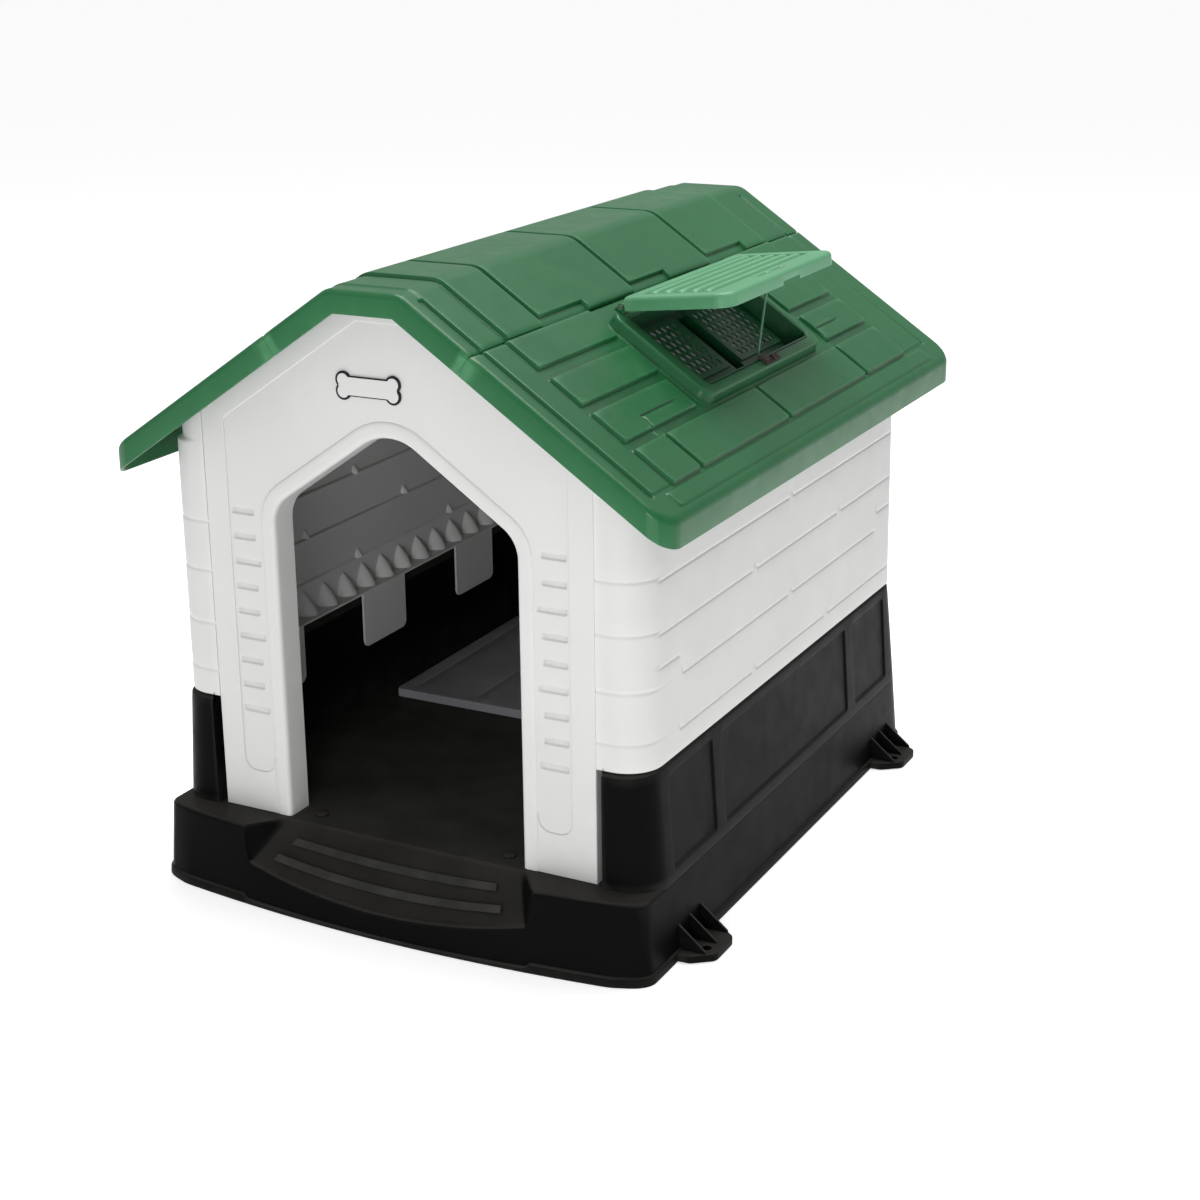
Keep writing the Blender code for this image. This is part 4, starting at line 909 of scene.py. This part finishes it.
def make_front_panel():
    foot = PANEL_FOOT
    bodies = []
    # Frame: border of the panel round the sunk field, open below the doorway.
    outer = panel_outline(0.0, foot)
    leg = 0.1790
    curve_in = rounded([(leg, 0.170), (0.1810, 0.170), (0.1810, FIELD_LOW_Z), (FIELD_HALF, FIELD_LOW_Z),
                        *FIELD_TOP,
                        (-FIELD_HALF, FIELD_LOW_Z), (-0.1810, FIELD_LOW_Z), (-0.1810, 0.170), (-leg, 0.170)],
                       [0, 0, 0.016, 0.016, 0.010, 0.010, 0.010, 0.010, 0.016, 0.016, 0, 0], 6)
    # The outline runs up the outside, over the top and back along the inside.
    outside = [(leg, foot), *outer[1:], outer[0], (-leg, foot)]
    bodies.append(plate([outside + curve_in[::-1]], 0.0003, 0.0085, 0.0013, front_place))
    # Sunk field with its slots.
    zs = [z + k for z in FRONT_SLOTS for k in (-0.0035, 0.0035)]
    xs = [side * x for side in (1, -1) for x in (0.1835, 0.190, 0.2210)]
    us = grid_lines(-0.2520, 0.2520, 0.0100, xs, 0.0016)
    vs = grid_lines(foot + 0.006, 0.7460, 0.0085, zs, 0.0014)
    edge = panel_outline(0.004, foot + 0.004)
    door = door_outline(0.0095, -0.1)

    def face(x, z):
        h = np.zeros_like(x)
        for i, level in enumerate(FRONT_SLOTS):
            inner = 0.190 if i % 3 else 0.184
            for x0, x1 in ((inner, 0.2215), (-0.2215, -inner)):
                slot = inside(x, z, x0, x1, level - 0.0036, level + 0.0036, 0.0030)
                h = np.maximum(h, 0.0024 * rise(slot, 0.0026))
        return house(x, FIELD_DEEP + h, z)

    bodies.append(sheet(us, vs, lambda x, z: within(edge, x, z) & ~within(door, x, z),
                        face, lambda x, z: house(x, 0.0056, z)))
    # Door trim and jamb.
    section = [(0.0, 0.0372), (0.0, 0.0070), (0.0004, 0.0040), (0.0014, 0.0020), (0.0030, 0.0007),
               (0.0055, 0.0001), (0.0080, 0.0), (0.0125, 0.0), (0.0155, 0.0001), (0.0178, 0.0006),
               (0.0192, 0.0014), (0.0200, 0.0026), (0.0202, 0.0045), (0.0190, 0.0060), (0.0042, 0.0060),
               (0.0035, 0.0075), (0.0035, 0.0372), (0.0029, 0.0380), (0.0006, 0.0380)]
    rows = []
    for grow, y in section:
        line = np.roll(door_outline(grow, foot), -1, axis=0)
        rows.append(house(line[:, 0], y, line[:, 1]))
    bodies.append(swept(rows))
    rows = []
    for inset, y in PANEL_FLANGE:
        line = np.roll(panel_outline(inset, foot), -1, axis=0)
        rows.append(house(line[:, 0], y, line[:, 1]))
    bodies.append(swept(rows))
    piece("front_panel_moulding", bodies, WALL, "house", ["front_panel"])


def make_back_panel():
    foot = PANEL_FOOT
    field = rounded([(-FIELD_HALF, FIELD_LOW_Z), (FIELD_HALF, FIELD_LOW_Z), *FIELD_TOP],
                    [0.016, 0.016, 0.010, 0.010, 0.010, 0.010], 6)
    bodies = [plate([panel_outline(0.0, foot), field], 0.0, 0.0085, 0.0013,
                    lambda a, b, c: house(a, DEPTH - c, b))]
    lines = [(0.205 + 0.062 * i, 0.195 if i % 2 else 0.2145) for i in range(7)]
    zs = [z + k for z, _ in lines for k in (-0.0015, 0.0015)]
    us = grid_lines(-0.2520, 0.2520, 0.0100, [0.2145, -0.2145, 0.195, -0.195], 0.0020)
    vs = grid_lines(foot + 0.006, 0.7460, 0.0085, zs, 0.0016)
    edge = panel_outline(0.004, foot + 0.004)

    def face(x, z):
        h = np.zeros_like(x)
        for level, half in lines:
            groove = inside(x, z, -half, half, level - 0.0022, level + 0.0022, 0.002)
            h = np.maximum(h, 0.0016 * rise(groove, 0.0030))
        return house(x, DEPTH - FIELD_DEEP - h, z)

    bodies.append(sheet(us, vs, lambda x, z: within(edge, x, z), face,
                        lambda x, z: house(x, DEPTH - 0.0054, z)))
    rings = []
    for inset, y in PANEL_FLANGE:
        line = np.array(panel_outline(inset, foot + inset))
        rings.append(house(line[:, 0], DEPTH - y, line[:, 1]))
    bodies.append(hoop(rings))
    piece("back_panel_moulding", bodies, WALL, "house", ["back_panel"])


def bone(radius):
    outline = []
    for cx, cz, begin in ((0.0100, 0.6345, -150), (0.0100, 0.6475, -40),
                          (-0.0550, 0.6475, 30), (-0.0550, 0.6345, 140)):
        outline += arc(cx, cz, radius, math.radians(begin), math.radians(190), 12)
    return outline


def make_badge():
    piece("gable_badge_rim", [plate([bone(0.0100)], -0.0004, FIELD_DEEP + 0.0004, 0.0004, front_place)],
          INK, "house", ["gable_badge"])
    piece("gable_badge_face", [plate([bone(0.0074)], -0.0006, 0.0008, 0.0002, front_place)],
          WALL, "house")


# ---------------------------------------------------------------- side walls

WALL_R = CORNER_R - 0.003
SIDE_Y0 = 0.0005 + WALL_R
SIDE_Y1 = DEPTH - 0.0005 - WALL_R


def wall_half(z):
    slow = WALL_HALF - 0.0025 * np.clip((z - WALL_LOW_Z) / (BAND_Z - 0.003 - WALL_LOW_Z), 0, 1)
    return slow - 0.0082 * smooth((z - BAND_Z + 0.005) / 0.006)


def wall_point(u, z, inset):
    """Point and outline of a side wall. u is 0 to 1 along the front flange, 1 to 2 round the corner,
    then 2 plus the distance along the side, then the same again at the back."""
    long = SIDE_Y1 - SIDE_Y0
    half = wall_half(z)
    run = half - WALL_R - WALL_END_X
    radius = WALL_R - inset
    turn1 = np.pi / 2 * np.clip(u - 1, 0, 1)
    turn2 = np.pi / 2 * np.clip(u - 2 - long, 0, 1)
    front = np.clip(u, 0, 1)
    back = np.clip(u - 3 - long, 0, 1)
    x = WALL_END_X + run * front
    x = np.where(u > 1, half - WALL_R + radius * np.sin(turn1), x)
    y = np.where(u > 1, SIDE_Y0 - radius * np.cos(turn1), 0.0005 + inset)
    y = np.where(u > 2, SIDE_Y0 + np.clip(u - 2, 0, long), y)
    x = np.where(u > 2 + long, half - WALL_R + radius * np.cos(turn2), x)
    y = np.where(u > 2 + long, SIDE_Y1 + radius * np.sin(turn2), y)
    x = np.where(u > 3 + long, WALL_END_X + run * (1 - back), x)
    return x, y


OUTER_LINES = [(0.452, 0.036, 0.400), (0.452, 0.412, 0.758), (0.391, 0.036, 0.290), (0.391, 0.302, 0.560),
               (0.391, 0.572, 0.758), (0.352, 0.036, 0.088), (0.3285, 0.096, 0.400), (0.3285, 0.412, 0.700),
               (0.352, 0.708, 0.758), (0.264, 0.088, 0.290), (0.264, 0.302, 0.520), (0.264, 0.532, 0.758),
               (0.513, 0.036, 0.520), (0.513, 0.532, 0.758)]
INNER_LINES = ((0.297, (0.150, 0.390, 0.630)), (0.357, (0.270, 0.510)), (0.415, (0.150, 0.390, 0.630)),
               (0.475, (0.270, 0.510)), (0.535, (0.150, 0.390, 0.630)))
CORNER_LINES = (0.271, 0.331, 0.397, 0.458)
LAP_DEEP = 0.0042
LAP_PITCH = 0.0595


def make_side_wall(side):
    long = SIDE_Y1 - SIDE_Y0
    ys, zs = [], [BAND_Z - 0.005, BAND_Z + 0.001]
    for z, y0, y1 in OUTER_LINES:
        ys += [y0 + 0.002, y0 + 0.006, y1]
        zs += [z, z + 0.005]
    for z, ticks in INNER_LINES:
        zs += [z - 0.0012]
        ys += list(ticks)
    zs += list(CORNER_LINES)
    side_lines = grid_lines(SIDE_Y0, SIDE_Y1, 0.014, [y for y in ys if y > SIDE_Y0], 0.0024)
    corner = np.linspace(0, 1, 13)
    us = np.concatenate([np.array([0, 0.5]), 1 + corner[:-1], 2 + side_lines - SIDE_Y0,
                         2 + long + corner[1:], 3 + long + np.array([0.5, 1.0])])
    top_z = 0.566
    vs = grid_lines(WALL_LOW_Z, top_z, 0.012, zs, 0.0024)
    tail = np.array([0.25, 0.5, 0.75, 1.0])
    gu, gv = np.meshgrid(us, np.concatenate([vs, top_z + tail]), indexing="ij")

    def level(u, v, inset):
        """Height of a grid point: the last rows spread up to the underside of the roof."""
        x = wall_point(u, np.minimum(v, top_z), inset)[0]
        high = roof_z(x, -(ROOF_SKIN + 0.0008))
        return np.where(v > top_z, top_z + (high - top_z) * (v - top_z), v)

    def outer_height(u, z):
        y = wall_point(u, z, 0.0)[1]
        h = np.zeros_like(u)
        for level_z, y0, y1 in OUTER_LINES:
            path = [(y0, level_z + 0.0085), (y0 + 0.0012, level_z + 0.0040), (y0 + 0.0045, level_z + 0.0008),
                    (y0 + 0.0085, level_z), (y1, level_z)]
            h = np.maximum(h, 0.0018 * np.exp(-(near_line(y, z, path) / 0.0020) ** 2) * (u > 1.75))
        for level_z in CORNER_LINES:
            fade = rise((1.95 if side > 0 else 1.8) - u, 0.3)
            h = np.maximum(h, 0.0011 * np.exp(-((z - level_z) / 0.0020) ** 2) * fade)
        return h

    def inner_height(u, z):
        y = wall_point(u, z, 0.0)[1]
        h = np.zeros_like(u)
        # Laps: each board leans in towards its top, where the next one starts behind a groove.
        for level_z, _ in INNER_LINES:
            board = (z > level_z) & (z <= level_z + LAP_PITCH)
            groove = rise(level_z + LAP_PITCH - 0.0012 - z, 0.0016)
            h = np.where(board, LAP_DEEP * np.clip((z - level_z) / LAP_PITCH, 0, 1) * groove, h)
        lowest = INNER_LINES[0][0]
        h = np.where(z <= lowest, LAP_DEEP * rise(lowest - 0.0012 - z, 0.0016) * 0.6, h)
        return h * rise(y - 0.058, 0.010) * rise(DEPTH - 0.058 - y, 0.010)

    z = level(gu, gv, 0.0)
    x0, y0 = wall_point(gu, z, outer_height(gu, z))
    x1, y1 = wall_point(gu, z, WALL_SKIN + inner_height(gu, z))
    x1 = np.maximum(x1, WALL_END_X)
    solid = np.ones((gu.shape[0] - 1, gu.shape[1] - 1), bool)
    bodies = [(np.concatenate([house(side * x0, y0, z), house(side * x1, y1, z)]), cell_faces(solid, border=True))]

    def upright(y, z, x):
        return house(side * x, y, z)

    # Return flanges at both ends.
    for y_a, y_b in ((0.0040, 0.0365), (DEPTH - 0.0365, DEPTH - 0.0040)):
        bodies.append(slab(y_a, y_b, WALL_LOW_Z, 0.6025, WALL_END_X, WALL_END_X + 0.003, 0.0005, upright))
    # Ledge, gussets, nubs and hanging tabs inside.
    bodies.append(slab(0.2850, 0.3130, 0.046, DEPTH - 0.046, LEDGE_HIGH_Z - 0.0028, LEDGE_HIGH_Z, 0.0008,
                       lambda a, b, c: house(side * a, b, c)))
    for i in range(15):
        y = 0.0715 + 0.0465 * i
        rings = []
        for z_k, size in ((LEDGE_HIGH_Z - 0.0015, 1.0), (LEDGE_HIGH_Z + 0.0025, 0.98), (0.2645, 0.86),
                          (0.2730, 0.64), (0.2800, 0.40), (0.2855, 0.18), (0.2880, 0.05)):
            turn = np.linspace(-math.pi / 2, math.pi / 2, 13)
            x = 0.3132 - (0.3132 - 0.2895) * size * np.cos(turn)
            rings.append(house(side * x, y + 0.0155 * size * np.sin(turn), z_k))
        bodies.append(loft(rings))
    for z, ticks in INNER_LINES:
        for y in ticks:
            rings = []
            for rise_z, deep, wide in ((-0.0010, 0.0085, 0.0052), (0.0015, 0.0085, 0.0052),
                                       (0.0060, 0.0060, 0.0044), (0.0105, 0.0030, 0.0030),
                                       (0.0130, 0.0008, 0.0012)):
                wall = float(wall_half(z + rise_z)) - WALL_SKIN + 0.001
                rings.append(house(side * (wall - deep * np.array([0, 0.7, 1, 0.7, 0])),
                                   y + wide * np.array([-1, -0.8, 0, 0.8, 1]), z + rise_z))
            bodies.append(loft(rings))
    for y_a, y_b in ((0.115, 0.220), (0.360, 0.465), (0.603, 0.708)):
        outline = rounded([(y_a, 0.178), (y_b, 0.178), (y_b, 0.2555), (y_a, 0.2555)], [0.010, 0.010, 0, 0], 6)
        bodies.append(plate([outline], 0.2845, 0.2877, 0.0007, upright))
    word = WORD[side]
    piece("side_wall_" + word + "_moulding", bodies, WALL, "house", ["side_wall_" + word])


# ---------------------------------------------------------------- base

def base_half(z):
    return BASE_HALF - BASE_TAPER * np.clip(z, 0, 1) / LEDGE_Z


def ramp_point(deep, across):
    deep, across = np.asarray(deep, float), np.asarray(across, float)
    run = np.clip(deep / RAMP_DEEP, None, 1.0)
    x = across * (RAMP_HALF + RAMP_FLARE * run)
    low = RAMP_LOW_Z + RAMP_DISH * across * across
    return x, RAMP_TOP_Y - deep, FLOOR_Z - 0.0003 - (FLOOR_Z - low) * run


def flare(x, y):
    """Spreads the grid lines of the porch so that they follow the flared edges of the ramp."""
    run = np.clip((RAMP_TOP_Y - y) / RAMP_DEEP, 0, 1)
    far = BASE_RUN
    wide = RAMP_HALF + RAMP_FLARE * run
    size = np.abs(x)
    outer = wide + (size - RAMP_HALF) * (far - wide) / (far - RAMP_HALF)
    return np.sign(x) * np.where(size < RAMP_HALF, size * wide / RAMP_HALF, np.where(size < far, outer, size))


def deck_drop(x, y):
    """How far the porch and its dished ramp lie below the floor, over the grid before it is flared."""
    run = np.clip((RAMP_TOP_Y - y) / RAMP_DEEP, 0, 1)
    across = x / RAMP_HALF
    low = RAMP_LOW_Z + RAMP_DISH * np.clip(across, -1, 1) ** 2
    # Soft start at the top edge of the ramp.
    soft = 0.06
    eased = np.where(run < soft, run * run / (2 * soft), run - soft / 2)
    drop = (FLOOR_Z - low) * np.clip(eased, 0, 1)
    return -drop * rise(1 - np.abs(across), 0.06)


BASE_RECESSES = ((0.056, 0.172), (0.200, DEPTH - 0.200), (DEPTH - 0.172, DEPTH - 0.056))


def make_base():
    edge = 0.006
    half = BASE_HALF
    front = PORCH_FRONT
    back = DEPTH + BASE_TAPER
    box = (-half, half, front, back)
    us = grid_lines(-half + edge, half - edge, 0.010,
                    [s * x for s in (1, -1) for x in (0.157, 0.1605, 0.164, 0.1675)], 0.0030,
                    [-BASE_RUN, BASE_RUN])
    vs = grid_lines(front + edge, back - edge, 0.014, [-0.003, -0.010, -0.0555], 0.0030,
                    [front + CORNER_R, back - CORNER_R, -0.035, -0.045])

    def place(x, y, z):
        """The skirt leans out to its foot, and the porch front bows forwards in its middle."""
        tall = np.clip(np.asarray(z, float), 0, FLOOR_Z)
        x = flare(x, y)
        lean = tall / LEDGE_Z * BASE_TAPER
        x2 = x - np.sign(x) * lean * np.clip(np.abs(x) / BASE_RUN, 0, 1) ** 6
        share = np.clip(y / front, 0, 1.2)
        bow = PORCH_SAG * np.clip((x / BASE_RUN) ** 2, 0, 1.15) * np.minimum(share, 1)
        y2 = y + bow + PORCH_TAPER * (tall / FLOOR_Z) * share ** 2
        return house(x2, y2 - lean * np.clip((y - (DEPTH - 0.1)) / 0.1, 0, 1) ** 2, z)

    profile = rollover(edge, FLOOR_Z)
    profile += [(0.0, 0.070), (0.0, 0.045), (0.0, 0.022), (0.0, 0.0135), (-0.0006, 0.0120), (-0.0022, 0.0108),
                (-BASE_FLANGE, 0.0095), (-BASE_FLANGE, 0.0012), (-BASE_FLANGE + 0.0008, 0.0002),
                (0.0012, 0.0002), (0.0030, 0.0012), (0.0042, 0.012), (0.0042, 0.050), (0.0046, 0.0900)]
    bodies = [moulded(us, vs, box, [CORNER_R] * 4, place, deck_drop, profile, FLOOR_Z - 0.0045)]

    # Walls and posts above the floor: one section carried round the C-shaped plan.
    corner_steps = np.linspace(0, math.pi / 2, 11)
    side_ys = list(grid_lines(0.053, DEPTH - 0.053, 0.030, [y for span in BASE_RECESSES for y in span], 0.0030))

    def outer_line(z, inset):
        """Half of the plan outline at one height, from the right post's inner edge to mid back."""
        out = base_half(z) - inset
        r = CORNER_R - 0.002
        y0 = POST_FRONT + inset
        y1 = DEPTH + base_half(z) - base_half(LEDGE_Z) - inset
        line = [(POST_INNER_X + (out - r - POST_INNER_X) * k / 3, y0) for k in range(3)]
        line += [(out - r + r * math.sin(t), y0 + r - r * math.cos(t)) for t in corner_steps]
        line += [(out, y) for y in side_ys]
        line += [(out - r + r * math.cos(t), y1 - r + r * math.sin(t)) for t in corner_steps]
        line += [((out - r) * (1 - k / 4), y1) for k in range(1, 5)]
        return line

    def inner_line(inset):
        x1 = BASE_INNER_X + inset
        y1 = 0.7677 + inset
        line = [(POST_INNER_X, POST_FRONT + 0.004 + 0.004 * k) for k in range(3)]
        line += [(POST_INNER_X, 0.008 + 0.037 * k / 7) for k in range(8)]
        line += [(POST_INNER_X + 0.006, 0.0500), (POST_INNER_X + 0.016, 0.0500), (x1 - 0.001, 0.0500)]
        line += [(x1, y) for y in side_ys]
        line += [(x1 - 0.004 * k / 10, min(y1, DEPTH - 0.050 + (y1 - DEPTH + 0.050) * k / 10))
                 for k in range(11)]
        line += [((x1 - 0.004) * (1 - k / 4), y1) for k in range(1, 5)]
        return line

    def recess(y, z):
        h = np.zeros_like(y)
        for y0, y1 in BASE_RECESSES:
            h = np.maximum(h, 0.0024 * rise(inside(y, z, y0, y1, 0.110, 0.222, 0.006), 0.005))
        return h

    section = []
    for z in [0.094, 0.1060] + list(grid_lines(0.1060, 0.2240, 0.02, [0.110, 0.222], 0.003))[1:]:
        section.append(("outer", 0.0, float(z)))
    for inset, z in rollover(0.005, LEDGE_Z)[-2::-1]:
        section.append(("outer", inset, z))
    section += [("outer", TONGUE_INSET, LEDGE_Z), ("outer", TONGUE_INSET + 0.0004, TONGUE_Z - 0.0010),
                ("outer", TONGUE_INSET + 0.0014, TONGUE_Z), ("outer", TONGUE_INSET + 0.0044, TONGUE_Z)]
    section += [("inner", 0.0, LEDGE_Z + 0.004), ("inner", 0.0, LEDGE_Z), ("inner", 0.0, 0.200),
                ("inner", 0.0, 0.150), ("inner", 0.0, 0.094)]
    rows = []
    for kind, inset, z in section:
        if kind == "outer":
            line = np.array(outer_line(z, inset))
            if z < LEDGE_Z:
                count = 3 + len(corner_steps)
                keep = slice(count, count + len(side_ys))
                line[keep, 0] -= recess(line[keep, 1], z)
        else:
            line = np.array(inner_line(inset))
        whole = np.concatenate([line, line[-2::-1] * (-1, 1)])
        rows.append(house(whole[:, 0], whole[:, 1], z))
    bodies.append(swept(rows))

    # Tread ribs across the ramp.
    for deep, reach in ((0.020, 0.80), (0.038, 0.84)):
        rings = []
        for i in range(33):
            share = -1 + i / 16
            x, y, z = ramp_point(deep, share * reach)
            x2, y2, z2 = ramp_point(deep + 0.002, share * reach)
            centre = Vector(house(x, y, z)[0])
            down = (Vector(house(x2, y2, z2)[0]) - centre).normalized()
            out = Vector((0.0, down.z, -down.y))
            end = 1 - abs(share)
            tall = 0.0036 * min(1.0, max(0.02, math.sqrt(max(0.0, end * 14))))
            ring = [centre - down * (0.0048 * a) - out * (tall * b - 0.0012)
                    for a, b in arc(0, 0, 1, 0, math.pi, 10)]
            ring += [centre + down * 0.0048 + out * 0.0030, centre - down * 0.0048 + out * 0.0030]
            rings.append(np.array(ring))
        bodies.append(loft(rings))

    # Ground-anchor ears.
    for side in (1, -1):
        for y in (0.087, DEPTH - 0.087):
            bodies += ear(side, y)
    # Small domes on the floor behind the doorway.
    for x in (-0.1305, 0.1305):
        rings = []
        for radius, z in ((0.0080, FLOOR_Z - 0.002), (0.0080, FLOOR_Z + 0.0012), (0.0072, FLOOR_Z + 0.0023),
                          (0.0055, FLOOR_Z + 0.0029), (0.0030, FLOOR_Z + 0.0031)):
            turn = np.linspace(0, 2 * math.pi, 25)[:-1]
            rings.append(house(x + radius * np.cos(turn), 0.022 + radius * np.sin(turn), z))
        bodies.append(loft(rings))
    # Ribs under the floor.
    for x in (-0.189, -0.094, 0.094, 0.189):
        bodies.append(slab(0.030, 0.765, 0.0006, 0.0945, x - 0.0022, x + 0.0022, 0.0006,
                           lambda a, b, c: house(c, a, b)))
    for i in range(6):
        y = 0.0275 + 0.1475 * i
        bodies.append(slab(-0.318, 0.318, 0.0006, 0.0945, y - 0.0022, y + 0.0022, 0.0006, front_place))
    piece("base_tray_moulding", bodies, BASE, "house", ["base_tray"])


def ear(side, y):
    """Ground-anchor ear with a peg hole and three thin gussets."""
    corners = [(0.325, y - 0.045), (0.350, y - 0.043), (0.3745, y - 0.024)]
    corners += [(0.3745, y + 0.024), (0.350, y + 0.043), (0.325, y + 0.045)]
    outline = rounded(corners, [0, 0.012, 0.012, 0.012, 0.012, 0], 6)
    hole = arc(0.358, y - 0.015, 0.0055, 0, 2 * math.pi, 20)[:-1]
    bodies = [plate([outline, hole], 0.0004, 0.0100, 0.0012, lambda a, b, c: house(side * a, b, c))]
    gusset = [(0.326, 0.006), (0.3645, 0.006), (0.3645, 0.0122), (0.326, 0.0440)]
    for middle in (y - 0.030, y, y + 0.030):
        bodies.append(plate([gusset], middle - 0.0016, middle + 0.0016, 0.0006,
                            lambda a, b, c: house(side * a, c, b)))
    return bodies


def make_floor_panel():
    low = FLOOR_Z + 0.0004
    top = low + 0.012
    box = (-0.262, 0.262, 0.398, 0.742)
    grooves = [-0.240 + 0.096 * i for i in range(6)]
    edge = 0.0018
    radius = 0.006
    us = grid_lines(box[0] + edge, box[1] - edge, 0.016, grooves, 0.0028,
                    [box[0] + radius, box[1] - radius])
    vs = grid_lines(box[2] + edge, box[3] - edge, 0.020, [0.416, 0.722], 0.0026,
                    [box[2] + radius, box[3] - radius])

    def height(x, y):
        h = np.zeros_like(x)
        for x0 in grooves:
            groove = inside(x, y, x0 - 0.0028, x0 + 0.0028, 0.416, 0.722, 0.0028)
            h = np.maximum(h, 0.0020 * rise(groove, 0.0030))
        return -h

    under = top - 0.003
    cover = moulded(us, vs, box, [radius] * 4, house, height, fold(edge, top, low, 0.003, under), under)
    piece("floor_panel_moulding", [cover], FLOOR, "house", ["floor_panel"])


# ---------------------------------------------------------------- kept CAD hardware

KEPT = {
    "vent_tray": VENT, "vent_grille_front": VENT, "vent_grille_rear": VENT, "stay_catch": BROWN,
    "hinge_pin_front": ZINC, "hinge_pin_rear": ZINC, "stay_pin": ZINC,
}


def finish_kept():
    for name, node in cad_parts.items():
        material = KEPT.get(name)
        if material is None and "screw" in name:
            material = BROWN if name.startswith("catch") else ZINC
        if material is None:
            continue
        node.data.materials.clear()
        node.data.materials.append(material)


# ---------------------------------------------------------------- camera, floor and light

CAMERA_PLACE = Vector((1.2683, -2.3339, 1.1740))
CAMERA_TURN = math.radians(28.4986)
CAMERA_TILT = math.radians(18.4409)
CAMERA_ROLL = math.radians(-0.9034)


def make_camera():
    data = bpy.data.cameras.new("camera")
    data.sensor_width = 36.0
    data.lens = 64.53
    data.shift_x = 0.0315
    data.shift_y = -0.0068
    data.clip_end = 50
    camera = bpy.data.objects.new("camera", data)
    bpy.context.scene.collection.objects.link(camera)
    back = Vector((math.sin(CAMERA_TURN) * math.cos(CAMERA_TILT),
                   -math.cos(CAMERA_TURN) * math.cos(CAMERA_TILT), math.sin(CAMERA_TILT)))
    right = (-back).cross(Vector((0, 0, 1))).normalized()
    up = right.cross(-back)
    turned = math.cos(CAMERA_ROLL) * right + math.sin(CAMERA_ROLL) * up
    upright = -math.sin(CAMERA_ROLL) * right + math.cos(CAMERA_ROLL) * up
    matrix = Matrix.Identity(4)
    for column, axis in enumerate((turned, upright, back)):
        for row in range(3):
            matrix[row][column] = axis[row]
    camera.matrix_world = Matrix.Translation(CAMERA_PLACE) @ matrix
    bpy.context.scene.camera = camera


def lamp(name, place, target, size, power):
    data = bpy.data.lights.new(name, "AREA")
    data.shape = "DISK"
    data.size = size
    data.energy = power
    obj = bpy.data.objects.new(name, data)
    bpy.context.scene.collection.objects.link(obj)
    obj.location = place
    obj.rotation_euler = (Vector(target) - Vector(place)).to_track_quat("-Z", "Y").to_euler()


def make_studio():
    mesh = bpy.data.meshes.new("studio_floor")
    ring = [(x, y, -0.0002) for x, y in arc(0, 0, 24, 0, 2 * math.pi, 64)[:-1]]
    mesh.from_pydata(ring, [], [list(range(64))])
    floor = bpy.data.objects.new("studio_floor", mesh)
    bpy.context.scene.collection.objects.link(floor)
    material = bpy.data.materials.new("studio_floor")
    material.use_nodes = True
    shader = material.node_tree.nodes["Principled BSDF"]
    shader.inputs["Base Color"].default_value = (0.93, 0.93, 0.93, 1)
    shader.inputs["Roughness"].default_value = 0.9
    shader.inputs["Specular IOR Level"].default_value = 0.1
    shader.inputs["Emission Color"].default_value = (1.0, 1.0, 1.0, 1)
    shader.inputs["Emission Strength"].default_value = 0.52
    mesh.materials.append(material)
    world = bpy.data.worlds.new("studio")
    world.use_nodes = True
    sky = world.node_tree.nodes["Background"]
    sky.inputs["Color"].default_value = (1.0, 1.0, 1.0, 1)
    sky.inputs["Strength"].default_value = 0.47
    bpy.context.scene.world = world
    lamp("key", (-1.5, -2.4, 2.6), (0.0, -0.1, 0.35), 2.0, 6)
    lamp("over", (0.1, 0.7, 3.2), (0.0, 0.0, 0.4), 2.2, 92)
    lamp("fill", (0.9, -2.5, 0.7), (-0.2, 0.3, 0.38), 0.7, 17)
    bpy.context.scene.view_settings.view_transform = "Standard"


make_camera()
make_studio()
make_base()
make_floor_panel()
make_front_panel()
make_back_panel()
make_badge()
for side in (1, -1):
    make_side_wall(side)
    make_slope(side)
make_cap()
make_lid()
make_rod()
finish_kept()
